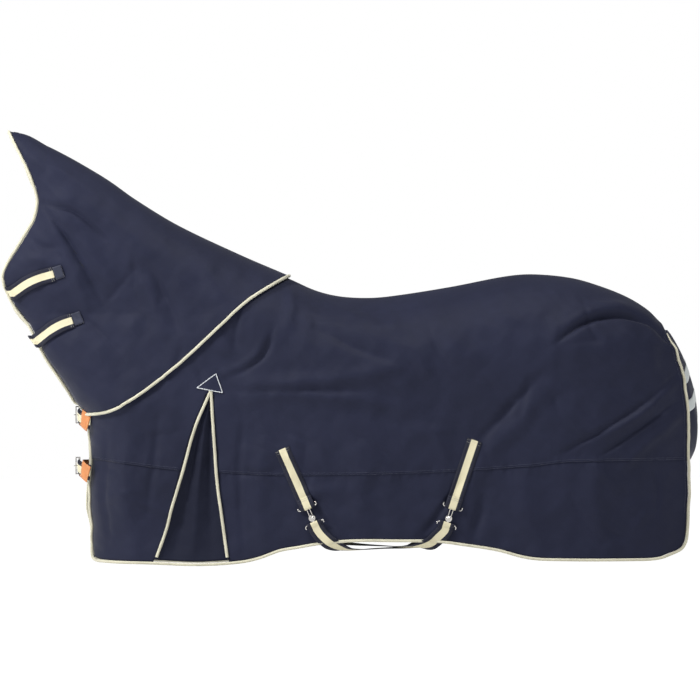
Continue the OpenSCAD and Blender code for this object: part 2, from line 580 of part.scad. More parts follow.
// Cross strap from a near fitting under the belly to the far side's opposite corner
module cross_strap(top, bar, turn, low) {
  start = eye_at(top, bar) - fold_end * up_of(top, bar);
  near_x = start[0];
  far_x = cross_end_x(top, bar, turn);
  path = [start, [near_x + turn * 12, -clear_at(near_x + turn * 12, turn), -864],
    [near_x + turn * 32, 1 - clear_at(near_x + turn * 32, turn), -889],
    [near_x + turn * 66, 60 - clear_at(near_x, turn), low + 1],
    [belly_x, 0, low],
    [far_x - turn * 62, clear_at(far_x, -turn) - 60, low + 1],
    [far_x - turn * 26, clear_at(far_x - turn * 26, -turn) - 1, -887],
    [far_x, hinge_y, hinge_z - 16]];
  normals = [out_of(bar), [0, -1, -0.05], [0, -0.78, -0.62], [0, -0.12, -1], [0, 0, -1],
    [0, 0.12, -1], [0, 0.78, -0.62], [0, 1, 0]];
  shares = 36;
  c = running(path);
  smooth = [for (k = [0:shares]) along(path, k / shares)];
  turned = [for (k = [0:shares])
    let (s = c[len(c) - 1] * k / shares, i = find(c, s))
    unit(mix(normals[i], normals[i + 1], (s - c[i]) / (c[i + 1] - c[i])))];
  band(smooth, turned, web_w, web_t);
  fitting(eye_at(top, bar), top, bar) mirror([0, 0, 1]) web_fold();
}
// Sewn upper end, on the far side, of the cross strap that ends at the given x
module far_strap_anchor(top, end_x) {
  far() side_strap([top, [end_x, hinge_z + 3]], web_w, strap_lift, web_t, 8);
}

color(navy) side_panel();  // near_side_panel
color(navy) far() side_panel();  // far_side_panel
color(navy) lower_front_panel();  // near_lower_front_panel
color(navy) far() lower_front_panel();  // far_lower_front_panel
color(navy) lower_rear_panel();  // near_lower_rear_panel
color(navy) far() lower_rear_panel();  // far_lower_rear_panel
color(deep_navy) gusset();  // near_gusset
color(deep_navy) far() gusset();  // far_gusset
color(cream) gusset_piping();  // near_gusset_piping
color(cream) far() gusset_piping();  // far_gusset_piping
color(deep_navy) body_lining();  // near_body_lining
color(deep_navy) far() body_lining();  // far_body_lining
color(deep_navy) back_seam_tape();
color(cream) body_binding();  // near_body_binding
color(cream) far() body_binding();  // far_body_binding
color(navy) neck_panel();  // near_neck_panel
color(navy) far() neck_panel();  // far_neck_panel
color(deep_navy) neck_lining();  // near_neck_lining
color(deep_navy) far() neck_lining();  // far_neck_lining
color(cream) neck_edge_piping();  // near_neck_edge_piping
color(cream) far() neck_edge_piping();  // far_neck_edge_piping
color(cream) neck_seam_piping();  // near_neck_seam_piping
color(cream) far() neck_seam_piping();  // far_neck_seam_piping
color(navy) patch();  // near_patch
color(navy) far() patch();  // far_patch
color(cream) neck_strap(neck_strap_u);  // neck_strap_upper
color(cream) neck_strap(neck_strap_l);  // neck_strap_lower
color(navy) neck_tab(neck_tab_u);  // neck_strap_tab_upper
color(navy) neck_tab(neck_tab_l);  // neck_strap_tab_lower
color(cream) neck_strap_base(neck_strap_u);  // neck_strap_base_upper
color(cream) neck_strap_base(neck_strap_l);  // neck_strap_base_lower
color(navy) tail_flap();
color(silver_grey) tail_band(-268);  // tail_band_upper
color(silver_grey) tail_band(-362);  // tail_band_lower
color(cream) chest_web(chest_z[0]);  // chest_web_upper
color(cream) chest_web(chest_z[1]);  // chest_web_lower
color(tan) chest_billet(chest_z[0]);  // chest_billet_upper
color(tan) chest_billet(chest_z[1]);  // chest_billet_lower
color(tan) chest_chape(chest_z[0]);  // chest_chape_upper
color(tan) chest_chape(chest_z[1]);  // chest_chape_lower
color(steel) chest_buckle(chest_z[0]);  // chest_buckle_upper
color(steel) chest_buckle(chest_z[1]);  // chest_buckle_lower
color(steel) chest_tongue(chest_z[0]);  // chest_tongue_upper
color(steel) chest_tongue(chest_z[1]);  // chest_tongue_lower
color(cream) surcingle_web(front_top, front_bar);  // surcingle_web_front
color(cream) surcingle_web(rear_top, rear_bar);  // surcingle_web_rear
color(steel) surcingle_hook(front_top, front_bar);  // surcingle_hook_front
color(steel) surcingle_hook(rear_top, rear_bar);  // surcingle_hook_rear
color(steel) surcingle_eye(front_top, front_bar);  // surcingle_eye_front
color(steel) surcingle_eye(rear_top, rear_bar);  // surcingle_eye_rear
color(cream)  // cross_strap_front
  cross_strap(front_top, front_bar, 1, -893);
color(cream)  // cross_strap_rear
  cross_strap(rear_top, rear_bar, -1, -884);
color(cream)  // far_strap_anchor_front
  far_strap_anchor(front_top, cross_end_x(rear_top, rear_bar, -1));
color(cream)  // far_strap_anchor_rear
  far_strap_anchor(rear_top, cross_end_x(front_top, front_bar, 1));
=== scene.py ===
"""Combo turnout rug: the visible cloth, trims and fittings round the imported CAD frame.

All lengths in the lists below are millimetres in the frame's own axes (+X to the tail, +Z up, the
near side at -Y); MM turns them into Blender's metres. The near side is built from one surface
function, side(), and the far side is its mirror with folds of its own.
"""
import math
import bpy
import numpy as np
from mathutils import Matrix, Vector


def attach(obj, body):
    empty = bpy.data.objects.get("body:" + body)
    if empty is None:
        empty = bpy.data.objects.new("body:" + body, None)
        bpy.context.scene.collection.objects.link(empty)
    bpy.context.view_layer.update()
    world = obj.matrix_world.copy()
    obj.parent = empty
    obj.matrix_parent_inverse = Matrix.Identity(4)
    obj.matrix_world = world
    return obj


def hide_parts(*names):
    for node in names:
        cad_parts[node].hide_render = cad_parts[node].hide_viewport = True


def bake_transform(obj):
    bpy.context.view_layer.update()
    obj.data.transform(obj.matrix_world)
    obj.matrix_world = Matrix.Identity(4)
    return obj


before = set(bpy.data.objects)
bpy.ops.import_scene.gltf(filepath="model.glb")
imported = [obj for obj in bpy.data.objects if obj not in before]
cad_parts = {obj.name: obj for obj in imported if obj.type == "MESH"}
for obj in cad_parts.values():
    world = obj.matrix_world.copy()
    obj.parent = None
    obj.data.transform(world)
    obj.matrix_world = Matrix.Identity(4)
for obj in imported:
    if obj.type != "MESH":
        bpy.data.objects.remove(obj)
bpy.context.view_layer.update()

MM = 0.001
NEAR, FAR = -1.0, 1.0
SIDES = (("near", NEAR), ("far", FAR))

# ---------------------------------------------------------------- profile of the rug, side view
TOP = [(-925, 482), (-865, 469), (-795, 430), (-706, 380), (-604, 317), (-512, 251), (-373, 166),
       (-165, 67), (0, -4), (86, -42), (165, -61), (260, -66), (343, -59), (528, -30), (710, 5),
       (800, 12), (927, 0), (1020, -26), (1112, -63), (1181, -106), (1226, -150), (1270, -182),
       (1330, -222)]
FRONT = [(-960, -650), (-900, -652), (-600, -658), (-450, -667), (-400, -708), (-327, -760),
         (-244, -818), (-178, -852), (-96, -910), (-30, -944), (0, -951), (31, -944), (86, -909),
         (149, -869), (200, -841), (240, -835), (280, -840), (323, -857), (380, -880), (436, -908),
         (482, -935)]
DOCK = (1226, -150)
NECKLINE = [(-80, 25), (-130, -12), (-200, -66), (-300, -150), (-420, -252), (-540, -350),
            (-598, -416), (-661, -462)]
CHEST_EDGE = [(-661, -462), (-660, -520), (-657, -598)]
FRONT_EDGE = [(-657, -598), (-654, -700), (-652, -800), (-651, -880), (-642, -918)]
REAR_UPPER = [DOCK, (1238, -182), (1270, -255), (1292, -315), (1299, -383), (1304, -475), (1307, -600)]
REAR_LOWER = [(1307, -600), (1307, -680), (1305, -772), (1301, -840), (1295, -866), (1283, -885),
              (1266, -896)]
SEAM = [(-657, -598), (-548, -611), (-396, -630), (-198, -643), (-26, -650), (406, -643),
        (789, -620), (904, -607), (1307, -600)]
HEM = [(-642, -918), (-600, -927), (-462, -932), (-297, -937), (-165, -929), (-99, -915),
       (-33, -891), (26, -880), (102, -867), (205, -858), (356, -858), (482, -860), (584, -873),
       (683, -889), (766, -911), (835, -919), (1135, -921), (1205, -917), (1266, -896)]
PLEAT_FRONT = [(-266, -390), (-304, -478), (-324, -538), (-349, -634), (-386, -756), (-406, -832),
               (-438, -925)]
PLEAT_REAR = [(-254, -390), (-248, -521), (-240, -641), (-234, -700), (-218, -812), (-202, -925)]
HEAD_EDGE = [(-925, 482), (-898, 436), (-870, 380), (-847, 323), (-830, 274), (-825, 235),
             (-835, 193), (-859, 149), (-899, 86), (-934, 31), (-941, 0)]
THROAT_EDGE = [(-941, 0), (-934, -30), (-900, -96), (-842, -178), (-808, -244), (-750, -327),
               (-703, -400), (-670, -443)]
COVER_EDGE = [(-10, 1), (-59, -26), (-122, -63), (-175, -106), (-221, -150), (-363, -280),
              (-508, -392), (-594, -433), (-670, -443)]
# Half width along the length, for the neck and trunk and for the chest below the neck
BELLY, WITHERS, REAR = 300, 276, 132
HALF = [(-940, 92), (-800, 118), (-600, 152), (-400, 196), (-200, 240), (0, WITHERS),
        (180, BELLY - 3), (296, BELLY), (515, BELLY - 8), (900, BELLY - 14),
        (1100, BELLY - 48), (1220, REAR + 70), (1290, REAR + 22), (1330, REAR - 6)]
CHEST = [(-700, 205), (-450, 228), (-200, 254), (0, WITHERS)]
OPEN = [(-960, 0.07), (-450, 0.08), (-330, 0.1), (-100, 0.35), (200, 0.53), (480, 0.53)]
BACK_ROUND, CHEST_ROUND, NECK_ROUND = 250, 170, 130
COVER_LIFT = 9.0
PIPING_R = 5.6

# Folds laid in the cloth: points in side view, width and height (minus for a crease), in mm
BODY_FOLDS = [
    ([(-182, -352), (33, -342), (231, -322), (429, -262)], 26, 7),
    ([(-132, -386), (66, -389), (264, -403), (429, -442)], 24, 6),
    ([(-190, -372), (40, -368), (250, -372)], 18, -5),
    ([(0, -18), (4, -90), (-6, -180)], 20, 6),
    ([(33, -106), (231, -188), (429, -244)], 28, 7),
    ([(60, -150), (240, -240), (420, -300)], 26, -5),
    ([(110, -80), (290, -168), (400, -160)], 30, 8),
    ([(-172, -100), (-182, -240)], 20, -5),
    ([(-50, -160), (-90, -260), (-215, -335)], 18, -6),
    ([(-75, -175), (-120, -270), (-230, -325)], 16, 4),
    ([(860, -225), (927, -170), (990, -136), (1040, -126), (1100, -126), (1181, -150), (1250, -222)],
     17, -13),
    ([(880, -160), (980, -108), (1070, -94), (1140, -104), (1215, -160)], 22, 9),
    ([(1290, -304), (1155, -419), (1023, -502), (875, -584)], 17, -6),
    ([(1270, -345), (1140, -450), (1010, -530)], 20, 6),
    ([(1287, -396), (1155, -492), (1010, -590)], 14, -6),
    ([(1297, -440), (1170, -545), (1080, -640)], 18, 6),
    ([(891, -304), (759, -469), (644, -584), (560, -760)], 30, 6),
    ([(840, -300), (700, -450), (600, -560)], 26, -5),
    ([(1020, -560), (1000, -700), (1030, -880)], 34, 6),
    ([(800, -560), (770, -720), (800, -890)], 36, 6),
    ([(640, -700), (600, -860)], 34, -7),
    ([(-60, -470), (-100, -660), (-90, -880)], 32, 6),
    ([(-150, -430), (-165, -640), (-150, -900)], 22, -4),
    ([(250, -520), (230, -690), (250, -850)], 40, 5),
    ([(-520, -470), (-540, -640), (-520, -900)], 30, 6),
    ([(-430, -430), (-440, -560), (-470, -800)], 24, -4),
    ([(-600, -500), (-610, -700), (-590, -900)], 22, -4),
    ([(450, -70), (520, -200), (640, -300)], 34, 5),
    ([(20, -640), (90, -760), (160, -850)], 24, -6),
    ([(580, -640), (500, -760), (430, -850)], 24, -6),
]
NECK_FOLDS = [
    ([(-818, 240), (-726, 175), (-640, 70), (-560, -60)], 26, 7),
    ([(-820, 225), (-759, 125), (-690, -10), (-650, -120)], 20, 6),
    ([(-812, 238), (-740, 140), (-665, 10), (-600, -110)], 15, -6),
    ([(-815, 262), (-690, 240), (-560, 160), (-430, 40)], 26, 5),
    ([(-818, 250), (-700, 210), (-590, 110)], 16, -5),
    ([(-462, 40), (-400, -80), (-350, -200)], 26, -5),
    ([(-500, 30), (-440, -90), (-400, -210)], 24, 5),
    ([(-330, 90), (-260, 0), (-210, -90)], 24, 5),
    ([(-880, 60), (-800, 60), (-700, 20)], 18, 4),
    ([(-720, -180), (-640, -230), (-560, -330)], 26, 5),
    ([(-770, -110), (-660, -150), (-540, -260)], 20, -4),
    ([(-860, 400), (-760, 350), (-640, 270)], 22, 4),
]


# ---------------------------------------------------------------- graphs, curves and the surface
def unit(v):
    """Vectors in rows, scaled to length one."""
    return v / np.linalg.norm(v, axis=-1)[..., None]


def running(p):
    """Running length along a polyline, from 0."""
    return np.concatenate([[0], np.cumsum(np.linalg.norm(np.diff(p, axis=0), axis=1))])


def spread(s, c, p):
    """Rows of p, known at the running lengths c, read at the lengths s."""
    return np.column_stack([np.interp(s, c, p[:, k]) for k in range(3)])


def hermite(t, w, a, b, slope_a, slope_b):
    """Cubic from a to b over a stretch of width w, at shares t of it."""
    return ((2 * t**3 - 3 * t**2 + 1) * a + (t**3 - 2 * t**2 + t) * w * slope_a
            + (3 * t**2 - 2 * t**3) * b + (t**3 - t**2) * w * slope_b)


def graph(points, x):
    """Smooth graph through (x, y) points, evaluated for an array."""
    p = np.array(points, float)
    x = np.clip(np.asarray(x, float), p[0, 0], p[-1, 0])
    s = np.gradient(p[:, 1], p[:, 0], edge_order=1)
    s[1:-1] = (p[2:, 1] - p[:-2, 1]) / (p[2:, 0] - p[:-2, 0])
    i = np.clip(np.searchsorted(p[:, 0], x, side="right") - 1, 0, len(p) - 2)
    w = p[i + 1, 0] - p[i, 0]
    return hermite((x - p[i, 0]) / w, w, p[i, 1], p[i + 1, 1], s[i], s[i + 1])


def along(points, t):
    """Points at shares t of the length of a smooth curve through the given points."""
    p = np.array(points, float)
    c = running(p)
    m = np.empty_like(p)
    m[1:-1] = (p[2:] - p[:-2]) / (c[2:] - c[:-2])[:, None]
    m[0] = (p[1] - p[0]) / (c[1] - c[0])
    m[-1] = (p[-1] - p[-2]) / (c[-1] - c[-2])
    s = np.clip(np.asarray(t, float), 0, 1) * c[-1]
    i = np.clip(np.searchsorted(c, s, side="right") - 1, 0, len(p) - 2)
    w = (c[i + 1] - c[i])[:, None]
    return hermite((s - c[i])[:, None] / w, w, p[i], p[i + 1], m[i], m[i + 1])


def length_of(points):
    return float(np.linalg.norm(np.diff(np.array(points, float), axis=0), axis=1).sum())


def evenly(points, step):
    """The curve's points about every step mm."""
    return along(points, np.linspace(0, 1, max(3, int(length_of(points) / step) + 1)))


def stretch_of(line, x0, x1, n=60):
    x = np.linspace(x0, x1, n)
    return np.column_stack([x, graph(line, x)])


def beside(points, d):
    """The line moved sideways by d mm, to the left of its direction."""
    p = np.array(points, float)
    t = unit(np.gradient(p, axis=0))
    return p + d * np.column_stack([-t[:, 1], t[:, 0]])


def rise(t):
    return np.sqrt(np.maximum(0, 1 - (1 - np.clip(t, 0, 1))**2))


def half_at(x, z):
    """Half width of the rug at a point of the side view, in mm."""
    down = graph(TOP, x) - z
    back = x - graph(FRONT, z)
    top_round = np.where(x < 0, NECK_ROUND + (BACK_ROUND - NECK_ROUND) * np.clip((x + 900) / 900, 0, 1),
                         BACK_ROUND)
    front_round = CHEST_ROUND + (NECK_ROUND - CHEST_ROUND) * np.clip((z + 440) / 300, 0, 1)
    share = graph(OPEN, z)
    low = np.where(x < 0, np.clip((-z - 120) / 300, 0, 1), 0)
    width = graph(HALF, x) * (1 - low) + graph(CHEST, x) * low
    return 0.6 + width * rise(down / top_round) * (share + (1 - share) * rise(back / front_round))


FOLD_DEPTH, CREASE_SHARE = 1.7, 0.55


def fold_field(x, z, folds):
    """Height of the laid folds at each point: rounded ridges that fade out at their ends."""
    out = np.zeros_like(x)
    for points, width, height in folds:
        line = evenly(points, 25)
        best = np.full(x.shape, 1e9)
        share = np.zeros_like(x)
        for k in range(len(line) - 1):
            a, b = line[k], line[k + 1]
            d = b - a
            t = np.clip(((x - a[0]) * d[0] + (z - a[1]) * d[1]) / (d @ d), 0, 1)
            r = np.hypot(x - a[0] - t * d[0], z - a[1] - t * d[1])
            closer = r < best
            best = np.where(closer, r, best)
            share = np.where(closer, (k + t) / (len(line) - 1), share)
        fade = np.sin(np.pi * np.clip(share, 0.02, 0.98))**0.7
        reach = width * (CREASE_SHARE if height < 0 else 1)
        out += FOLD_DEPTH * height * fade * np.exp(-(best / reach)**2)
    return out


def crinkles(seed, count, xs, zs):
    """Short soft creases and ridges left in the cloth by folding and packing."""
    rng = np.random.RandomState(seed)
    out = []
    for _ in range(count):
        x, z, bend = rng.uniform(*xs), rng.uniform(*zs), rng.uniform(-16, 16)
        angle, half = rng.normal(-0.9, 0.55), rng.uniform(35, 100)
        dx, dz = half * math.cos(angle), half * math.sin(angle)
        out.append(([(x - dx, z - dz), (x + bend, z + bend), (x + dx, z + dz)], rng.uniform(15, 24),
                    rng.choice([-1, 1]) * rng.uniform(1.2, 3.2)))
    return out


BODY_CRINKLES = crinkles(5, 64, (-600, 1280), (-880, -90))
NECK_CRINKLES = crinkles(8, 24, (-820, -120), (-360, 330))


def waves(x, z, seed, size, count=9):
    """Soft random undulation of about unit height; size is its wavelength in mm."""
    rng = np.random.RandomState(seed)
    out = np.zeros_like(x)
    for _ in range(count):
        angle, phase, scale = rng.uniform(0, math.pi), rng.uniform(0, 6.28), rng.uniform(0.7, 1.5)
        out += np.sin((x * math.cos(angle) + z * math.sin(angle)) * 6.28 / (size * scale) + phase)
    return out / math.sqrt(count / 2)


# Waves of the whole cloth: height in mm and wavelength in mm
WAVES = ((1.9, 260), (0.85, 90), (0.30, 38))
NEAR_SEED, FAR_SEED, FAR_STRENGTH = 3, 11, 0.8
CALM_EDGE, LAP_EDGE, LAP_PRESS = 60, 60, 3
SEAM_PUCKER, PUCKER_REACH, PUCKER_SIZE = 0.7, 26, 21
HANG_WAVE, HANG_FROM, HANG_SIZE = 3.0, 640, 210


def relief(x, z, side_sign, cover):
    """All the cloth's relief over the smooth form, in mm."""
    seed, strength = (NEAR_SEED, 1.0) if side_sign < 0 else (FAR_SEED, FAR_STRENGTH)
    folds = fold_field(x, z, NECK_FOLDS + NECK_CRINKLES if cover else BODY_FOLDS + BODY_CRINKLES)
    soft = sum(height * waves(x, z, seed + k, size) for k, (height, size) in enumerate(WAVES))
    calm = np.clip((graph(TOP, x) - z) / CALM_EDGE, 0, 1)
    out = strength * folds + soft
    if not cover:
        lapped = np.clip((z - graph(COVER_EDGE[::-1], x)) / LAP_EDGE, 0, 1)
        out = out * (1 - 0.8 * lapped) - LAP_PRESS * lapped
        near_seam = np.exp(-((z - graph(SEAM, x)) / PUCKER_REACH)**2)
        pucker = SEAM_PUCKER * near_seam * waves(x, z * 0.3, seed + 3, PUCKER_SIZE)
        low = np.clip((-z - HANG_FROM) / 280, 0, 1)**1.5
        hang = HANG_WAVE * low * waves(x, z * 0.15, seed + 4, HANG_SIZE, 5)
        out = out + pucker + hang
    return calm * out


# The far front edge bulges forward round this height, to show past the near one
FAR_FLAP_OUT, FAR_FLAP_Z = 16, -745


def side(x, z, lift=0.0, side_sign=NEAR, cover=False, smooth=False):
    """Points of the cloth, in metres, lifted off its face by lift mm; smooth leaves out its folds."""
    x, z = np.broadcast_arrays(np.asarray(x, float), np.asarray(z, float))
    f = half_at(x, z)
    fx = (half_at(x + 2, z) - f) / 2
    fz = (f - half_at(x, z - 2)) / 2
    n = unit(np.stack([fx, np.ones_like(f), fz], axis=-1))
    over_body = rise((x + 800) / 500)
    height = np.zeros_like(f) + lift + (COVER_LIFT * (0.15 + 0.85 * over_body) if cover else 0)
    if not smooth:
        height = height + relief(x, z, side_sign, cover)
    p = np.stack([x, -f, z], axis=-1) - n * height[..., None]
    if side_sign > 0 and not cover:
        p[..., 0] -= FAR_FLAP_OUT * np.exp(-((z - FAR_FLAP_Z) / 75)**2) * rise((-560 - x) / 90)**2
    p[..., 1] *= -side_sign
    return p * MM


def on_side(xz, *args, **kwargs):
    """side() for points given as pairs."""
    return side(xz[..., 0], xz[..., 1], *args, **kwargs)


def patch_xz(top, bottom, left, right, u, v):
    """Side-view grid between four curves; top and bottom run in u, left and right in v."""
    top, bottom, left, right = (np.array(c, float) for c in (top, bottom, left, right))
    u3, v3 = u[:, None, None], v[None, :, None]
    return (along(top, u)[:, None] * (1 - v3) + along(bottom, u)[:, None] * v3
            + along(left, v)[None] * (1 - u3) + along(right, v)[None] * u3
            - top[0] * (1 - u3) * (1 - v3) - top[-1] * u3 * (1 - v3)
            - bottom[0] * (1 - u3) * v3 - bottom[-1] * u3 * v3)


# ---------------------------------------------------------------- meshes
def new_object(name, verts, faces, material, smooth=True, uvs=None):
    mesh = bpy.data.meshes.new(name)
    mesh.from_pydata([tuple(v) for v in verts], [], faces)
    mesh.update()
    mesh.materials.append(material)
    mesh.polygons.foreach_set("use_smooth", [smooth] * len(mesh.polygons))
    if uvs is not None:
        layer = mesh.uv_layers.new(name="strap")
        loops = np.array([loop.vertex_index for loop in mesh.loops])
        layer.data.foreach_set("uv", np.asarray(uvs, float)[loops].ravel())
    obj = bpy.data.objects.new(name, mesh)
    bpy.context.collection.objects.link(obj)
    return obj


def shell(name, outer, inner, material, keep=None, flip=False, uvs=None):
    """Closed thin cloth between two grids of points; keep says which cells exist."""
    n, m = outer.shape[0] - 1, outer.shape[1] - 1
    count = (n + 1) * (m + 1)
    ids = np.arange(count).reshape(n + 1, m + 1)
    keep = np.ones((n, m), bool) if keep is None else keep
    faces = []

    def wall(a, b):
        faces.append((b, a, a + count, b + count))

    for i in range(n):
        for j in range(m):
            if not keep[i, j]:
                continue
            a, b, c, d = (int(k) for k in (ids[i, j], ids[i + 1, j], ids[i + 1, j + 1], ids[i, j + 1]))
            faces.append((d, c, b, a))
            faces.append((a + count, b + count, c + count, d + count))
            if j == 0 or not keep[i, j - 1]:
                wall(b, a)
            if i == n - 1 or not keep[i + 1, j]:
                wall(c, b)
            if j == m - 1 or not keep[i, j + 1]:
                wall(d, c)
            if i == 0 or not keep[i - 1, j]:
                wall(a, d)
    if flip:
        faces = [tuple(reversed(f)) for f in faces]
    verts = np.concatenate([outer.reshape(-1, 3), inner.reshape(-1, 3)])
    if uvs is not None:
        uvs = np.concatenate([uvs.reshape(-1, 2)] * 2)
    obj = new_object(name, verts, faces, material, uvs=uvs)
    drop_loose(obj)
    return obj


def drop_loose(obj):
    """Takes away points that no face uses."""
    used = np.zeros(len(obj.data.vertices), bool)
    used[[loop.vertex_index for loop in obj.data.loops]] = True
    if used.all():
        return
    import bmesh
    bm = bmesh.new()
    bm.from_mesh(obj.data)
    bmesh.ops.delete(bm, geom=[v for v in bm.verts if not v.link_faces], context="VERTS")
    bm.to_mesh(obj.data)
    bm.free()


CLOTH_T = 1.3


def lay(name, xz, material, side_sign, cover=False, lift=0.0, keep=None, thick=CLOTH_T):
    """A panel of cloth over a grid of side-view points."""
    outer = on_side(xz, lift, side_sign, cover)
    inner = on_side(xz, lift - thick, side_sign, cover)
    on_side(xz, lift, side_sign, cover, smooth=True)
    return shell(name, outer, inner, material, keep, flip=side_sign > 0, uvs=xz * MM)


def cloth(name, curves, step, material, side_sign, cover=False, lift=0.0, dense_top=False,
          thick=CLOTH_T):
    """A panel of cloth over a four-sided patch of the side view, at about step mm a cell."""
    top, bottom, left, right = curves
    nu = int(max(length_of(top), length_of(bottom)) / step) + 2
    nv = int(max(length_of(left), length_of(right)) / step) + 2
    v = np.linspace(0, 1, nv)**(1.35 if dense_top else 1.0)
    xz = patch_xz(top, bottom, left, right, np.linspace(0, 1, nu), v)
    return lay(name, xz, material, side_sign, cover, lift, thick=thick)


def cloth_uv(grid):
    """Running lengths along both directions of a grid of points, in metres, for weaves."""
    du = np.linalg.norm(np.diff(grid, axis=0), axis=-1).mean(axis=1)
    dv = np.linalg.norm(np.diff(grid, axis=1), axis=-1).mean(axis=0)
    u = np.concatenate([[0], np.cumsum(du)])
    v = np.concatenate([[0], np.cumsum(dv)])
    uu, vv = np.meshgrid(u, v - v[-1] / 2, indexing="ij")
    return np.stack([uu, vv], axis=-1)


def resample(path, step):
    """3D path resampled at equal steps (metres)."""
    path = np.asarray(path, float)
    c = running(path)
    return spread(np.linspace(0, c[-1], max(3, int(c[-1] / step) + 1)), c, path)


# Any direction that no cord starts along
ASKEW = (0.31, 0.52, 0.79)


def rope(name, path, radius, material, pitch=9 * MM, lobes=2, depth=0.13, step=1.7 * MM, sides=10):
    """Twisted piping cord along a path: the lobes of its section turn as it runs."""
    p = resample(path, step)
    n = len(p)
    t = unit(np.gradient(p, axis=0))
    a = np.zeros_like(p)
    ref = np.cross(t[0], ASKEW)
    for i in range(n):
        ref = ref - t[i] * (ref @ t[i])
        ref /= np.linalg.norm(ref)
        a[i] = ref
    b = np.cross(t, a)
    turn = np.arange(n)[:, None] * step / pitch * 2 * math.pi
    ang = np.arange(sides)[None] / sides * 2 * math.pi
    r = radius * (1 - depth + depth * np.cos(lobes * (ang - turn)))
    outwards = np.cos(ang)[..., None] * a[:, None] + np.sin(ang)[..., None] * b[:, None]
    ring = p[:, None] + r[..., None] * outwards
    faces = []
    for i in range(n - 1):
        for k in range(sides):
            k2 = (k + 1) % sides
            faces.append((i * sides + k, i * sides + k2, (i + 1) * sides + k2, (i + 1) * sides + k))
    faces.append(tuple(range(sides - 1, -1, -1)))
    faces.append(tuple((n - 1) * sides + k for k in range(sides)))
    return new_object(name, ring.reshape(-1, 3), faces, material)


STITCH_FACES = ((0, 2, 1), (0, 1, 3), (0, 3, 5), (0, 5, 2), (4, 1, 2), (4, 3, 1), (4, 5, 3), (4, 2, 5))


def direction(v):
    """unit() for rows that may be nearly zero."""
    return v / (np.linalg.norm(v, axis=1)[:, None] + 1e-9)


def stitches(name, paths, lifts, material, pitch=4.2 * MM, long=3.0 * MM, radius=0.42 * MM, zigzag=0.0):
    """Rows of thread stitches; each path has the outward direction at each of its points."""
    verts, faces = [], []
    for path, normals in zip(paths, lifts):
        path, normals = np.asarray(path, float), np.asarray(normals, float)
        c = running(path)
        s = np.arange(pitch / 2, c[-1], pitch)
        mid = spread(s, c, path)
        up = direction(spread(s, c, normals))
        d = direction(spread(s + pitch / 2, c, path) - mid)
        sway = np.where(np.arange(len(s)) % 2 == 0, 1.0, -1.0)[:, None] * zigzag
        d = direction(d + np.cross(d, up) * sway)
        w = np.cross(d, up)
        base = len(verts)
        for k in range(len(s)):
            at = mid[k]
            verts += [at - d[k] * long / 2, at + up[k] * radius, at + w[k] * radius,
                      at - w[k] * radius, at + d[k] * long / 2, at - up[k] * radius]
            first = base + 6 * k
            faces += [tuple(first + corner for corner in face) for face in STITCH_FACES]
    return new_object(name, verts, faces, material)


ROW_POINTS = 14


def straight_row(centre, along_row, half, out):
    """A straight row of stitches on a band, from points in mm, and its outward directions."""
    t = np.linspace(-half, half, ROW_POINTS)[:, None]
    return (centre + t * np.asarray(along_row)) * MM, np.repeat(out[None], ROW_POINTS, axis=0)


def side_row(points, lift, side_sign=NEAR, cover=False, step=6):
    """A line on the cloth and the outward directions along it, for stitches."""
    xz = evenly(points, step)
    low = on_side(xz, lift, side_sign, cover)
    high = on_side(xz, lift + 3, side_sign, cover)
    return low, high - low


# ---------------------------------------------------------------- materials
class Nodes:
    """A node tree and short ways to add to it."""

    def __init__(self, tree):
        self.tree = tree

    def add(self, kind, **values):
        """A node with named inputs or settings."""
        made = self.tree.nodes.new("ShaderNode" + kind)
        for key, value in values.items():
            if key in made.inputs:
                made.inputs[key].default_value = value
            else:
                setattr(made, key, value)
        return made

    def link(self, a, b):
        self.tree.links.new(a, b)

    def maths(self, operation, *values):
        made = self.add("Math", operation=operation)
        for socket, value in zip(made.inputs, values):
            if isinstance(value, (int, float)):
                socket.default_value = value
            else:
                self.link(value, socket)
        return made.outputs[0]

    def mul(self, a, b):
        return self.maths("MULTIPLY", a, b)

    def total(self, *parts):
        """Sum of (socket, weight) pairs."""
        terms = [socket if weight == 1 else self.mul(socket, weight) for socket, weight in parts]
        out = terms[0]
        for term in terms[1:]:
            out = self.maths("ADD", out, term)
        return out

    def limited(self, value, low, high):
        return self.maths("MINIMUM", self.maths("MAXIMUM", value, low), high)

    def between(self, fac, low, high):
        """fac from 0 to 1 mapped to low to high."""
        made = self.add("MapRange")
        made.inputs["To Min"].default_value = low
        made.inputs["To Max"].default_value = high
        self.link(fac, made.inputs["Value"])
        return made.outputs[0]

    def mixed(self, fac, a, b, blend="MIX"):
        """Colour mixed from a to b; each may be a colour or a socket."""
        made = self.add("Mix", data_type="RGBA", blend_type=blend)
        for index, value in ((0, fac), (6, a), (7, b)):
            if isinstance(value, float):
                made.inputs[index].default_value = value
            elif isinstance(value, tuple):
                made.inputs[index].default_value = (*value, 1)
            else:
                self.link(value, made.inputs[index])
        return made.outputs[2]


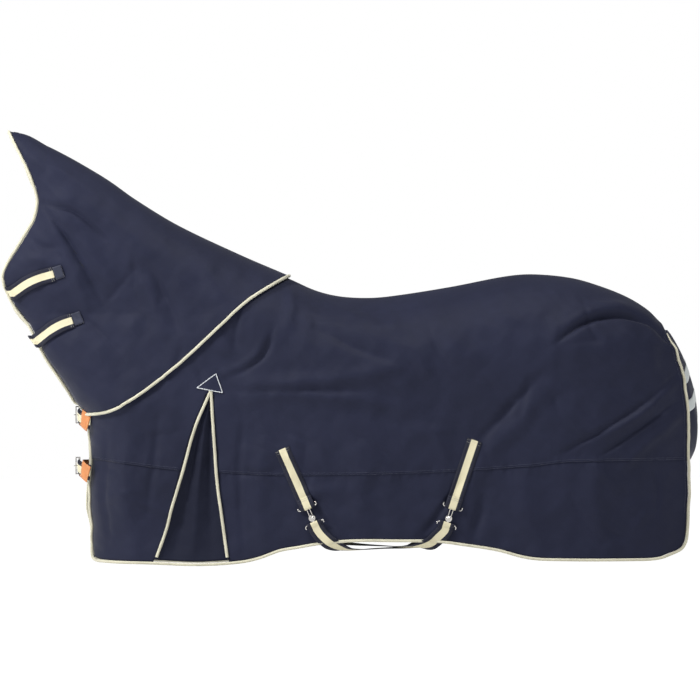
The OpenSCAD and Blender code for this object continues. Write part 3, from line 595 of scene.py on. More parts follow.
class Paint(Nodes):
    """A material in the making."""

    def __init__(self, name, color, roughness, metallic=0.0, sheen=0.0, specular=0.5):
        self.mat = bpy.data.materials.new(name)
        self.mat.use_nodes = True
        super().__init__(self.mat.node_tree)
        self.bsdf = self.tree.nodes["Principled BSDF"]
        self.set("Base Color", (*color, 1))
        self.set("Roughness", roughness)
        self.set("Metallic", metallic)
        self.set("Specular IOR Level", specular)
        if sheen:
            self.set("Sheen Weight", sheen)
            self.set("Sheen Roughness", 0.45)
        self.at = self.add("TexCoord").outputs["Object"]

    def set(self, name, value):
        self.bsdf.inputs[name].default_value = value

    def noise(self, scale, detail=3.0, rough=0.5):
        made = self.add("TexNoise", Scale=scale, Detail=detail, Roughness=rough)
        self.link(self.at, made.inputs["Vector"])
        return made.outputs["Fac"]

    def uv_axes(self):
        """The cloth's own two directions, in metres."""
        split = self.add("SeparateXYZ")
        self.link(self.add("UVMap", uv_map="strap").outputs[0], split.inputs[0])
        return split.outputs[0], split.outputs[1]

    def wave(self, x, period):
        """Sine of a length, from 0 to 1, with the given period in metres."""
        return self.maths("MULTIPLY_ADD", self.maths("SINE", self.mul(x, 2 * math.pi / period)), 0.5, 0.5)

    def color(self, fac, dark, light):
        self.link(self.mixed(fac, dark, light), self.bsdf.inputs["Base Color"])

    def rough(self, fac, low, high):
        self.link(self.between(fac, low, high), self.bsdf.inputs["Roughness"])

    def bump(self, height, distance, strength):
        """Bumps of the given depth in metres; gives back the finished material."""
        made = self.add("Bump", Strength=strength, Distance=distance)
        self.link(height, made.inputs["Height"])
        self.link(made.outputs[0], self.bsdf.inputs["Normal"])
        return self.mat


def shell_cloth(name, dark, light, roughness=0.62, sheen=0.03, ripstop=6.5 * MM, weave=1.1 * MM):
    """Coated polyester: a fine plain weave, a faint ripstop grid, cloudy colour and light rub marks."""
    p = Paint(name, light, roughness, sheen=sheen, specular=0.12)
    u, v = p.uv_axes()
    cross = p.mul(p.wave(u, weave), p.wave(v, weave))
    grid = p.maths("MAXIMUM", *[p.maths("POWER", p.wave(axis, ripstop), 24.0) for axis in (u, v)])
    cloud = p.noise(3.2, 4.0, 0.55)
    rub = p.maths("MAXIMUM", p.between(p.noise(26.0, 5.0, 0.6), -0.9, 1.2), 0.0)
    p.color(p.total((cloud, 0.75), (rub, 0.18), (grid, 0.10)), dark, light)
    p.rough(cloud, roughness - 0.07, roughness + 0.1)
    crumple = p.noise(70.0, 4.0, 0.6)
    return p.bump(p.total((cross, 0.25), (grid, 0.35), (crumple, 1.6)), 0.00035, 0.8)


def cord_yarn(name, dark, light):
    """Cream piping yarn: fibres, soft shade in the twist and a little soiling."""
    p = Paint(name, light, 0.78, sheen=0.4, specular=0.3)
    soil, fibre = p.noise(14.0, 4.0, 0.6), p.noise(1500.0, 2.0, 0.6)
    p.color(p.total((soil, 0.7), (fibre, 0.45)), dark, light)
    return p.bump(fibre, 0.0004, 0.7)


def scaled(color, share):
    return tuple(share * c for c in color)


STRIPE = 24 * MM


def webbing(name, navy, cream):
    """Woven strap: rows of weft across, a herringbone along, and a cream stripe down the middle."""
    p = Paint(name, navy, 0.7, sheen=0.05, specular=0.25)
    u, v = p.uv_axes()
    off_middle = p.maths("ABSOLUTE", v)
    zig = p.maths("PINGPONG", off_middle, 4 * MM)
    rib, yarn = p.wave(p.total((u, 1), (zig, 1)), 2.2 * MM), p.wave(v, 1.6 * MM)
    stripe = p.maths("LESS_THAN", p.total((off_middle, 1), (yarn, 0.0003)), STRIPE / 2)
    soil = p.noise(20.0, 4.0, 0.6)
    pale = p.mixed(p.between(soil, 0.0, 1.0), scaled(cream, 0.82), cream)
    deep = p.mixed(soil, scaled(navy, 0.7), scaled(navy, 1.25))
    shade = p.between(p.mul(rib, yarn), 0.84, 1.0)
    p.link(p.mixed(1.0, p.mixed(stripe, deep, pale), shade, "MULTIPLY"), p.bsdf.inputs["Base Color"])
    return p.bump(p.total((rib, 1), (yarn, 0.5)), 0.0005, 0.8)


def leather(name, dark, light):
    """Tan strap leather: fine cell grain, darker pores and burnished patches."""
    p = Paint(name, light, 0.45)
    cells = p.add("TexVoronoi", Scale=700.0)
    p.link(p.at, cells.inputs["Vector"])
    patchy = p.noise(60.0, 5.0, 0.6)
    p.color(patchy, dark, light)
    p.rough(patchy, 0.35, 0.6)
    return p.bump(p.total((cells.outputs["Distance"], 1), (patchy, 0.6)), 0.0004, 0.6)


def plated_steel(name):
    """Nickel-plated casting: bright, with soft casting dents and fine scratches."""
    p = Paint(name, (0.80, 0.78, 0.75), 0.22, metallic=1.0)
    dents, scratch, worn = p.noise(220.0, 3.0, 0.5), p.noise(1400.0, 2.0, 0.7), p.noise(45.0, 4.0, 0.6)
    p.color(worn, (0.40, 0.39, 0.37), (0.62, 0.60, 0.57))
    p.rough(scratch, 0.12, 0.38)
    return p.bump(p.total((dents, 1), (scratch, 0.2)), 0.0003, 0.5)


def reflective_tape(name):
    """Silver-grey tape with a fine diamond cell pattern under its film."""
    p = Paint(name, (0.62, 0.66, 0.66), 0.38, metallic=0.25, specular=0.6)
    u, v = p.uv_axes()
    cell = p.mul(*[p.wave(p.maths(slant, u, v), 3.2 * MM) for slant in ("ADD", "SUBTRACT")])
    tone = p.total((cell, 0.3), (p.noise(30.0, 4.0, 0.6), 0.6))
    p.color(tone, (0.36, 0.39, 0.39), (0.56, 0.60, 0.60))
    return p.bump(cell, 0.0002, 0.6)


def thread(name, color):
    """Sewing thread: a twisted, slightly shiny yarn."""
    p = Paint(name, color, 0.5, sheen=0.2)
    twist = p.noise(2500.0, 1.0, 0.5)
    p.color(twist, scaled(color, 0.7), color)
    return p.bump(twist, 0.0002, 0.5)


def hook_and_loop(name, dark, light):
    """Loop tape: a dense, slightly fuzzy pile."""
    p = Paint(name, light, 0.9, sheen=0.6, specular=0.2)
    pile = p.noise(900.0, 3.0, 0.7)
    p.color(pile, dark, light)
    return p.bump(pile, 0.0008, 0.9)


SHELL = shell_cloth("navy_shell", (0.0075, 0.0090, 0.021), (0.0165, 0.0190, 0.042))
# The pleat cloth is the shell navy painted darker all over: painted shade for the pleat's recess, not a
# different dye.
SHADED_PLEAT = shell_cloth("navy_pleat_painted_shade", (0.005, 0.006, 0.014), (0.010, 0.012, 0.027), roughness=0.7, sheen=0.02)
LINING = shell_cloth("navy_lining", (0.004, 0.005, 0.010), (0.010, 0.012, 0.024), roughness=0.4, sheen=0.1,
                     ripstop=3.0 * MM)
PIPING = cord_yarn("cream_piping", (0.27, 0.26, 0.19), (0.66, 0.63, 0.49))
WEBBING = webbing("navy_cream_webbing", (0.009, 0.010, 0.024), (0.76, 0.70, 0.48))
LEATHER = leather("tan_leather", (0.36, 0.12, 0.03), (0.62, 0.24, 0.075))
STEEL = plated_steel("plated_steel")
REFLECT = reflective_tape("reflective_tape")
TONE_THREAD = thread("navy_thread", (0.055, 0.062, 0.105))
CREAM_THREAD = thread("cream_thread", (0.82, 0.79, 0.66))
LOOP_TAPE = hook_and_loop("navy_loop_tape", (0.010, 0.012, 0.022), (0.030, 0.034, 0.062))
PATCH_EDGE = thread("grey_edge_thread", (0.55, 0.57, 0.60))


# ---------------------------------------------------------------- putting pieces on the frame
def place(piece, body, nodes=()):
    """Sets what a piece rides on and hides the CAD parts that it stands for."""
    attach(piece, body)
    if nodes:
        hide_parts(*nodes)
    return piece


def shifted(points, dx):
    return [(x + dx, z) for x, z in points]


def raised(points, dz):
    return [(x, z + dz) for x, z in points]


STEP = 7.0


# ---------------------------------------------------------------- body of the rug
def column_top(x):
    return (x, float(graph(TOP, x)))


# Rows of the side panel from the back down to the seam; the pleat's slit starts at SLIT_TIP
SLIT_TIP = 0.645
SIDE_ROWS = np.concatenate([SLIT_TIP * np.linspace(0, 1, int(470 / STEP))**1.35,
                            np.linspace(SLIT_TIP, 1, int(260 / STEP))[1:]])


def side_panel(side_name, side_sign):
    """Upper side: a block each side of the pleat's slit, joined above its tip."""
    front = patch_xz(stretch_of(TOP, -80, -230, 24), stretch_of(SEAM, -657, -356, 24),
                     NECKLINE + CHEST_EDGE[1:],
                     [column_top(-230), (-274, -380), (-311, -478), (-331, -538), (-356, -634)],
                     np.linspace(0, 1, int(430 / STEP))**1.25, SIDE_ROWS)
    rear = patch_xz(stretch_of(TOP, -190, DOCK[0], 90), stretch_of(SEAM, -232, 1307, 90),
                    [column_top(-190), (-246, -380), (-241, -521), (-234, -580), (-232, -641)],
                    REAR_UPPER, np.linspace(0, 1, int(1530 / STEP)), SIDE_ROWS)
    xz = np.concatenate([front, rear])
    keep = np.ones((len(xz) - 1, len(SIDE_ROWS) - 1), bool)
    keep[len(front) - 1] = SIDE_ROWS[:-1] < SLIT_TIP - 0.001
    piece = lay(side_name + "_side_cloth", xz, SHELL, side_sign, keep=keep)
    return place(piece, "rug", [side_name + "_side_panel"])


SEAM_LAP, TUCKED_LIFT = 5, -1.4


def lower_panels(side_name, side_sign):
    """Front and rear lower panels, whose top edges lie just under the seam."""
    front_top = raised(stretch_of(SEAM, -657, -356, 12), SEAM_LAP)
    front_bottom = stretch_of(HEM, -642, -446, 12)
    front = cloth(side_name + "_lower_front_cloth",
                  (front_top, front_bottom, [front_top[0]] + FRONT_EDGE[1:-1] + [front_bottom[0]],
                   [front_top[-1], (-390, -756), (-410, -832), front_bottom[-1]]),
                  STEP, SHELL, side_sign, lift=TUCKED_LIFT)
    rear_top = raised(stretch_of(SEAM, -232, 1307, 40), SEAM_LAP)
    rear_bottom = list(map(tuple, stretch_of(HEM, -198, 1205, 60))) + [HEM[-1]]
    rear = cloth(side_name + "_lower_rear_cloth",
                 (rear_top, rear_bottom, [rear_top[0], (-228, -700), (-213, -812), rear_bottom[0]],
                  [rear_top[-1]] + REAR_LOWER[1:]),
                 STEP, SHELL, side_sign, lift=TUCKED_LIFT)
    place(front, "rug", [side_name + "_lower_front_panel"])
    place(rear, "rug", [side_name + "_lower_rear_panel"])
    return front, rear


PLEAT_DEPTH = 20


def gusset(side_name, side_sign):
    """The pleat's own cloth, folded inwards behind the two piped edges; its navy is painted darker all over
    as painted shade of the recess.
    """
    u, v = np.linspace(0, 1, 25), np.linspace(0, 1, 76)
    xz = patch_xz([(-274, -352), (-246, -352)], [(-462, -936), (-297, -941), (-165, -933)],
                  [(-274, -352)] + shifted(PLEAT_FRONT, -9), [(-246, -352)] + shifted(PLEAT_REAR, 9), u, v)
    uu, vv = np.meshgrid(u, v, indexing="ij")
    fold = 1 - np.abs(1 - 2 * np.abs(2 * uu - 1))
    sewn_flat = 1 - vv**8
    depth = PLEAT_DEPTH * np.minimum(1, 0.25 + 1.6 * vv) * sewn_flat
    lift = -0.4 - 2.2 * sewn_flat - depth * fold * np.sin(np.pi * uu)**0.3
    piece = lay(side_name + "_gusset_cloth", xz, SHADED_PLEAT, side_sign, lift=lift)
    return place(piece, "rug", [side_name + "_gusset"])


def body_lining(side_name, side_sign):
    top = stretch_of(TOP, -92, 1205, 60)
    bottom = raised(list(map(tuple, stretch_of(HEM, -628, 1190, 60))) + [(1246, -892)], 14)
    left = [tuple(top[0])] + shifted(NECKLINE[1:], 7) + [(-641, -598), (-637, -800), bottom[0]]
    right = [tuple(top[-1]), (1222, -182), (1254, -255), (1276, -315), (1284, -383), (1288, -475),
             (1290, -600), (1290, -772), (1278, -850), bottom[-1]]
    piece = cloth(side_name + "_lining_cloth", (top, bottom, left, right), 15, LINING, side_sign,
                  lift=-26, dense_top=True, thick=0.6)
    return place(piece, "rug", [side_name + "_body_lining"])


def seam_tape():
    """Taped back seam, inside the shell."""
    xs = np.linspace(-70, 1190, 160)
    ys = np.linspace(16, -16, 5)
    xx, yy = np.meshgrid(xs, ys, indexing="ij")
    zz = graph(TOP, xx) - 5 - 0.0028 * yy**2 + 0.15 * np.sin(xx / 7)
    outer = np.stack([xx, yy, zz], axis=-1) * MM
    inner = outer - [0, 0, 0.0009]
    piece = shell("back_seam_tape_cloth", outer, inner, LINING, uvs=np.stack([xx, yy], axis=-1) * MM)
    return place(piece, "rug", ["back_seam_tape"])


def binding_route():
    """Outline of the body's free edges, from the chest down, along the hem and up the rear."""
    outline = CHEST_EDGE + FRONT_EDGE[1:] + HEM[1:] + (REAR_UPPER[1:] + REAR_LOWER[1:-1])[::-1]
    return along(outline, np.linspace(0, 1, 420))


def off_edge(xz, side_sign, out, lift):
    """Points out from a cloth edge in the cloth's own plane; the near side's edge runs anticlockwise."""
    low = on_side(xz, 0, side_sign)
    n = unit(on_side(xz, 5, side_sign) - low)
    outwards = unit(np.cross(np.gradient(low, axis=0), n) * -side_sign)
    return low + (out * outwards + np.reshape(lift, (-1, 1)) * n) * MM


EDGE_OUT, EDGE_LIFT = 4.0, 2.0


def body_binding(side_name, side_sign):
    xz = binding_route()
    ends = np.clip(np.arange(len(xz))[::-1] / 14, 0, 1)
    path = off_edge(xz, side_sign, EDGE_OUT, EDGE_LIFT - 6 * (1 - ends))
    piece = rope(side_name + "_body_piping", path, PIPING_R * MM, PIPING)
    return place(piece, "rug", [side_name + "_body_binding"])


def gusset_piping(side_name, side_sign):
    share = np.linspace(0.0, 0.985, 90)
    for tag, top, line in (("front", (-259, -374), PLEAT_FRONT), ("rear", (-257, -374), PLEAT_REAR)):
        xz = along([top] + line[1:], share)
        path = on_side(xz, 1.2, side_sign)
        piece = rope("%s_gusset_piping_%s" % (side_name, tag), path, PIPING_R * MM, PIPING)
        place(piece, "rug", [side_name + "_gusset_piping"])


# ---------------------------------------------------------------- neck cover
NECK_HEM = 14


def neck_cover(side_name, side_sign):
    curves = (stretch_of(TOP, -925, -10, 60), THROAT_EDGE, HEAD_EDGE, COVER_EDGE)
    piece = cloth(side_name + "_neck_cloth", curves, STEP, SHELL, side_sign, cover=True, dense_top=True)
    place(piece, "rug", [side_name + "_neck_panel"])
    last = len(COVER_EDGE) - 1
    tucked = [(x - 50 * (1 - k / last) + NECK_HEM * k / last, z + 12)
              for k, (x, z) in enumerate(COVER_EDGE)]
    inner = (stretch_of(TOP, -905, -60, 40), shifted(THROAT_EDGE[:-1], NECK_HEM) + [tucked[-1]],
             shifted(HEAD_EDGE, NECK_HEM), tucked)
    lining = cloth(side_name + "_neck_lining_cloth", inner, 14, LINING, side_sign, cover=True,
                   dense_top=True, lift=-3.2, thick=0.6)
    place(lining, "rug", [side_name + "_neck_lining"])
    return piece, lining


def neck_pipings(side_name, side_sign):
    edge = np.concatenate([along(beside(HEAD_EDGE, -EDGE_OUT), np.linspace(0, 1, 90)),
                           along(beside(THROAT_EDGE, -EDGE_OUT), np.linspace(0, 0.985, 90)[1:])])
    seam = along(beside(COVER_EDGE, EDGE_OUT), np.linspace(0, 1, 160)**1.3)
    for tag, xz in (("edge", edge), ("seam", seam)):
        path = on_side(xz, EDGE_LIFT, side_sign, cover=True)
        path[0, 1] = side_sign * 4 * MM
        piece = rope("%s_neck_%s_piping_cord" % (side_name, tag), path, PIPING_R * MM, PIPING)
        place(piece, "rug", ["%s_neck_%s_piping" % (side_name, tag)])


PATCH = [(-241, -316), (-303, -362), (-219, -378)]


def patch(side_name, side_sign):
    """Triangle of shell cloth over the pleat's tip, with a grey corded edge."""
    top, tip, low = (np.array(p, float) for p in PATCH)
    t, e = np.meshgrid(np.linspace(0.02, 1, 18), np.linspace(0, 1, 18), indexing="ij")
    t, e = t[..., None], e[..., None]
    xz = tip + t * ((top - tip) * (1 - e) + (low - tip) * e)
    piece = lay(side_name + "_patch_cloth", xz, SHELL, side_sign, lift=3.2)
    place(piece, "rug", [side_name + "_patch"])
    outline = evenly([PATCH[0], PATCH[1]], 4)
    for a, b in ((1, 2), (2, 0)):
        outline = np.concatenate([outline, np.linspace(PATCH[a], PATCH[b], 24)[1:]])
    path = on_side(outline, 3.2, side_sign)
    edge = rope(side_name + "_patch_edge", path, 1.6 * MM, PATCH_EDGE, pitch=4 * MM, lobes=2)
    place(edge, "rug")
    return piece


# ---------------------------------------------------------------- straps lying on the cloth
STRIP_ROWS = 9
WEB_WIDTH = 50


def strip_shape(across, thick):
    """Lift of a strap's face across its width: full in the middle, rounded at the edges."""
    return thick * (1 - 0.45 * np.abs(2 * across)**8)


def strap(name, line, width, lift, material, side_sign=NEAR, cover=False, thick=2.0, step=5, arch=0.0,
          rise_at_start=0.0, ripple=0.25):
    """Webbing lying on the cloth along a side-view line; arch bends it up between its ends."""
    pts = evenly(line, step)
    share = np.linspace(0, 1, len(pts))
    d = unit(np.gradient(pts, axis=0))
    across = np.linspace(-0.5, 0.5, STRIP_ROWS)
    sideways = np.stack([d[:, 1], -d[:, 0]], axis=-1)
    xz = pts[:, None] + sideways[:, None] * (across * width)[None, :, None]
    wavy = ripple * np.sin(share * length_of(line) / 16 + 1.3)
    base = lift + arch * np.sin(np.pi * share) + rise_at_start * (1 - share)**4 + wavy
    base = base[:, None] + 0 * across[None]
    outer = on_side(xz, base + strip_shape(across, thick)[None], side_sign, cover)
    inner = on_side(xz, base, side_sign, cover)
    return shell(name, outer, inner, material, flip=side_sign > 0, uvs=cloth_uv(outer))


def band(name, path, normals, width, thick, material, flip=False):
    """Webbing or leather along 3D points in mm, each with its own outward direction."""
    path, normals = np.asarray(path, float), np.asarray(normals, float)
    d = unit(np.gradient(path, axis=0))
    edge = unit(np.cross(d, normals))
    face = np.cross(edge, d)
    across = np.linspace(-0.5, 0.5, STRIP_ROWS)
    widths = np.broadcast_to(np.asarray(width, float), (len(path),))
    flat = path[:, None] + edge[:, None] * (widths[:, None] * across)[..., None]
    outer = (flat + face[:, None] * (strip_shape(across, thick) - thick / 2)[None, :, None]) * MM
    inner = (flat - face[:, None] * thick / 2) * MM
    return shell(name, outer, inner, material, flip=flip, uvs=cloth_uv(outer))


def cross_rows(name, line, at_shares, width, lift, material, side_sign=NEAR, cover=False, inset=3):
    """Rows of stitches across a strap that lies on the cloth, at shares of its length."""
    paths, normals = [], []
    for share in at_shares:
        p = along(line, [max(0, share - 0.01), share, min(1, share + 0.01)])
        d = p[2] - p[0]
        d = d / np.linalg.norm(d)
        s = np.linspace(-0.5, 0.5, 12)[:, None] * (width - 2 * inset)
        xz = p[1] + s * np.array([d[1], -d[0]])
        low = on_side(xz, lift, side_sign, cover)
        high = on_side(xz, lift + 2, side_sign, cover)
        paths.append(low)
        normals.append(high - low)
    return stitches(name, paths, normals, material)


NECK_STRAPS = (("upper", [(-908, -50), (-866, -22), (-822, -2), (-774, 12)], [(-772, 13), (-744, 22)]),
               ("lower", [(-828, -206), (-788, -176), (-750, -156), (-713, -142)],
                [(-711, -141), (-683, -130)]))
NECK_STRAP_LIFT, TAB_WIDTH = 3.5, 42
WRAP_OUT, EDGE_RISE = 13, 5
THROAT_DIR = np.array([0.577, -0.816])


def strap_and_wrap(line, extra):
    """Rows of points across a neck strap, from the far edge round the opening and along its near line."""
    pts = evenly(line, 4)
    share = np.linspace(0, 1, len(pts))[:, None]
    d = unit(np.gradient(pts, axis=0))
    turned = np.minimum(1, share * 4)
    sideways = np.stack([d[:, 1], -d[:, 0]], axis=-1) * turned + THROAT_DIR * (1 - turned)
    across = np.linspace(-0.5, 0.5, STRIP_ROWS) * WEB_WIDTH
    xz = pts[:, None] + sideways[:, None] * across[None, :, None]
    rise_over_edge = EDGE_RISE * (1 - share)**6 + 3.5 * np.sin(np.pi * share)**2
    lying = on_side(xz, NECK_STRAP_LIFT + rise_over_edge + extra[None], NEAR, True) / MM
    first = lying[0]
    turn = np.linspace(np.pi, 0, 22)[:-1, None]
    y = np.cos(turn) * first[None, :, 1]
    ahead = (WRAP_OUT + extra) * (1 - np.abs(np.cos(turn))**4)**0.25
    x = first[None, :, 0] - ahead
    z = first[None, :, 2] + 0 * turn
    return np.concatenate([np.stack([x, y, z], axis=-1), lying]) * MM


def neck_strap(tag, line, tab_line):
    """Strap over the throat opening: near stretch, wrap, tab and the sewn far stretch."""
    body = "neck_strap_%s_free" % tag
    start, second = (np.array(p, float) for p in line[:2])
    d = (second - start) / np.linalg.norm(second - start)
    face = strip_shape(np.linspace(-0.5, 0.5, STRIP_ROWS), 2.0)
    outer, inner = strap_and_wrap(line, face), strap_and_wrap(line, 0 * face)
    piece = shell("neck_strap_%s_webbing" % tag, outer, inner, WEBBING, uvs=cloth_uv(outer))
    place(piece, body, ["neck_strap_" + tag])
    tab = strap("neck_strap_tab_%s_tape" % tag, tab_line, TAB_WIDTH, NECK_STRAP_LIFT, LOOP_TAPE, cover=True,
                thick=2.4, step=3)
    place(tab, body, ["neck_strap_tab_" + tag])
    rows = cross_rows("neck_strap_%s_end_stitches" % tag, line, (0.93, 0.975), WEB_WIDTH,
                      NECK_STRAP_LIFT + 2.7, CREAM_THREAD, cover=True)
    place(rows, body)
    base_line = [tuple(start + d * 8), tuple(start + d * 60), tuple(start + d * 120)]
    base = strap("neck_strap_base_%s_webbing" % tag, base_line, WEB_WIDTH, 2.0, WEBBING, FAR, True,
                 rise_at_start=4)
    place(base, "rug", ["neck_strap_base_" + tag])


# ---------------------------------------------------------------- tail flap
FLAP = [(-160, 1233), (-188, 1256), (-254, 1292), (-314, 1315), (-370, 1331), (-452, 1344),
        (-498, 1344), (-561, 1334), (-598, 1318)]
FLAP_TOP, FLAP_END = -172, -597
TAIL_BANDS, BAND_WIDTH, BAND_SLANT = (("upper", -268), ("lower", -362)), 38, 46


def rear_x(z):
    return graph([(q[1], q[0]) for q in REAR_UPPER[::-1]], z)


def flap_points(z, s, lift):
    """Points of the tail flap at height z and share s of its half width."""
    x0 = graph(FLAP[::-1], z)
    edge = rear_x(z)
    half = np.minimum(REAR - 18, 0.82 * half_at(edge, z) - 12)
    half = np.maximum(7, half)
    drop = np.maximum(0, x0 - edge - 1)
    down = np.clip((FLAP_TOP - z) / 300, 0, 1)
    ripple = down * (2.2 * np.sin(s * 5.3 + z / 60) + 1.3 * np.sin(s * 9 + z / 31 + 2))
    x = x0 - drop * s**2 + ripple * (1 - s**4) + lift
    return np.stack(np.broadcast_arrays(x, s * half, z), axis=-1) * MM


def flap_sheet(name, z_values, reach, lift, thick, material, slant=0.0):
    z, s = np.meshgrid(z_values, np.linspace(-reach, reach, 33), indexing="ij")
    z = z - slant * np.abs(s)
    outer, inner = flap_points(z, s, lift + thick), flap_points(z, s, lift)
    uv = np.stack([s * 0.11, z * MM], axis=-1)
    return shell(name, outer, inner, material, flip=True, uvs=uv)


def tail_flap():
    cloth_piece = flap_sheet("tail_flap_cloth", np.linspace(FLAP_TOP, FLAP_END, 70), 1.0, 0.0, 1.6, SHELL)
    place(cloth_piece, "flap", ["tail_flap"])
    pieces = []
    for tag, z0 in TAIL_BANDS:
        piece = flap_sheet("tail_band_%s_tape" % tag, np.linspace(z0, z0 - BAND_WIDTH, 8), 0.97, 2.4,
                           0.6, REFLECT, slant=BAND_SLANT)
        place(piece, "flap", ["tail_band_" + tag])
        pieces.append(piece)
    z, s = np.linspace(FLAP_TOP, FLAP_END, 90), np.linspace(-1, 1, 60)
    edges = [flap_points(z, np.full_like(z, end), 0.8) for end in (-1.0, 1.0)]
    edges.append(flap_points(np.full_like(s, FLAP_END), s, 0.8))
    for k, path in enumerate(edges):
        hem = rope("tail_flap_hem_%d" % k, path, 1.7 * MM, TONE_THREAD, pitch=6 * MM, depth=0.05)
        place(hem, "flap")
    return cloth_piece, pieces


# ---------------------------------------------------------------- chest closures
CHEST_X, CHEST_REACH, CHEST_CURVE = -697, 98, 39
CHEST_Z = {"upper": -452, "lower": -620}
PATCH_SLANT, PATCH_MIDDLE = 0.35, 77
CHEST_WEB, BILLET_PATCH, CHAPE, BILLET = 52, 56, 40, 38


def chest_path(z, y0, y1, lift, n=40):
    """Route round the chest and the directions out of it."""
    y = np.linspace(y0, y1, n)
    x = CHEST_X + CHEST_CURVE * (np.abs(y) / CHEST_REACH)**2.2
    zz = z + np.where(y < 0, 0.22 * y, 0)
    p = np.stack([x, y, zz], axis=-1)
    t = np.gradient(p, axis=0)
    out = unit(np.stack([-t[:, 1], t[:, 0], 0 * y], axis=-1))
    return p + lift * out, out


def chest_closure(tag):
    z = CHEST_Z[tag]
    path, out = chest_path(z, -CHEST_REACH - 2, 8, 0.0)
    web = band("chest_web_%s_webbing" % tag, path, out, CHEST_WEB, 2.0, WEBBING)
    place(web, "rug", ["chest_web_" + tag])
    path, out = chest_path(z, -96, -58, 2.8, 24)
    slanted = path.copy()
    slanted[:, 2] += PATCH_SLANT * (path[:, 1] + PATCH_MIDDLE)
    patch_piece = band("chest_billet_%s_patch" % tag, slanted, out, BILLET_PATCH, 2.2, LEATHER)
    place(patch_piece, "rug", ["chest_billet_" + tag])
    path, out = chest_path(z, -60, 46, 3.0, 40)
    width = CHAPE * np.minimum(1, 0.35 + 0.65 * np.clip((46 - path[:, 1]) / 16, 0, 1)**0.6)
    tip = band("chest_billet_%s_strap" % tag, path, out, np.minimum(width, BILLET), 3.0, WEBBING)
    place(tip, "rug", ["chest_billet_" + tag])
    path, out = chest_path(z, 60, 96, 1.6, 24)
    chape = band("chest_chape_%s_leather" % tag, path, out, CHAPE, 2.6, LEATHER)
    place(chape, "rug", ["chest_chape_" + tag])
    sewn_rows = []
    for y in (-92, -62):
        p, o = chest_path(z, y - 1, y + 1, 4.2, 3)
        sewn_rows.append(straight_row(p[1] + [0, 0, PATCH_SLANT * (y + PATCH_MIDDLE)], [0, 0, 1], 23, o[1]))
    rows, normals = zip(*sewn_rows)
    sewn = stitches("chest_billet_%s_stitches" % tag, rows, normals, CREAM_THREAD)
    place(sewn, "rug")


# ---------------------------------------------------------------- belly straps
FITTINGS = {"front": ((-24, -562), (60, -755), 1, -893), "rear": ((606, -533), (532, -755), -1, -884)}
BAR_LEN, ROD_R, WEB_T, STRAP_LIFT = 68, 2.3, 2.0, 2.0
BAR_TO_STUD, STUD_TO_EYE, EYE_OUT = 36, 17, 3.5
STRAP_START, STRAP_CLEAR = 8, 7.5
BELLY_X, HINGE_Y, HINGE_Z = 296, 301.5, -825
BAR_LIFT = STRAP_LIFT + WEB_T + 0.5 + ROD_R


def cad_half(x, z):
    """The CAD surface's half width, which its fittings stand on."""
    return float(half_at(np.array([float(x)]), np.array([float(z)]))[0]) + 0.9


def strap_frame(top, bar):
    """Directions at a fitting: up along the strap, outwards, and across along the bar."""
    d = np.array([top[0] - bar[0], top[1] - bar[1]], float)
    d /= np.linalg.norm(d)
    half_bar = BAR_LEN / 2
    turn = -math.atan((cad_half(bar[0] + half_bar, bar[1]) - cad_half(bar[0] - half_bar, bar[1])) / BAR_LEN)
    up = np.array([d[0] * math.cos(turn), d[0] * math.sin(turn), d[1]])
    out = np.array([math.sin(turn), -math.cos(turn), 0.0])
    return up, out, np.cross(up, out)


def bar_point(bar):
    return np.array([bar[0], -cad_half(*bar) - BAR_LIFT, bar[1]], float)


def eye_point(top, bar):
    up, out, _ = strap_frame(top, bar)
    return bar_point(bar) - (BAR_TO_STUD + STUD_TO_EYE) * up + EYE_OUT * out


def web_fold(name, at, up, out, across, material, leg=38):
    """Webbing turned round a bar and sewn back on itself; up points along the strap."""
    r = ROD_R + 1.6
    ang = np.radians(np.linspace(180, 360, 13))
    lead = np.array([[leg, -r], [leg * 0.66, -r], [leg * 0.33, -r]])
    loop = np.column_stack([r * np.sin(ang), r * np.cos(ang)])
    tail = np.array([[leg * 0.33, r * 0.8], [leg * 0.6, r * 0.1], [leg * 0.8, -r + 2.3], [leg, -r + 2.2]])
    route = np.concatenate([lead, loop, tail])
    path = at + route[:, :1] * up + route[:, 1:] * out
    tangent = np.gradient(path, axis=0)
    normals = np.cross(tangent, across)
    return band(name, path, normals, WEB_WIDTH, 1.9, material)


def surcingle(tag):
    """Near strap down to its fitting, with the fold sewn round the upper bar."""
    top, bar, _, _ = FITTINGS[tag]
    up, out, across = strap_frame(top, bar)
    a, b = np.array(top, float), np.array(bar, float)
    line = [tuple(a), tuple(a + (b - a) * 0.33), tuple(a + (b - a) * 0.67), tuple(b + (a - b) * 0.10)]
    web = strap("surcingle_%s_webbing" % tag, line, WEB_WIDTH, 0.8, WEBBING, thick=2.2)
    place(web, "rug", ["surcingle_web_" + tag])
    fold = web_fold("surcingle_%s_fold" % tag, bar_point(bar), up, out, across, WEBBING)
    place(fold, "rug", ["surcingle_web_" + tag])
    rows, normals = zip(*[straight_row(bar_point(bar) + up * leg + out * 0.6, across, 22, out)
                          for leg in (26, 33)])
    sewn = stitches("surcingle_%s_fold_stitches" % tag, rows, normals, TONE_THREAD, radius=0.6 * MM)
    place(sewn, "rug")
    ends = cross_rows("surcingle_%s_top_stitches" % tag, line, (0.02, 0.06), WEB_WIDTH, 3.2, CREAM_THREAD)
    place(ends, "rug")


def clear_at(x, turn):
    return cad_half(x + turn * 20, HINGE_Z) + STRAP_CLEAR


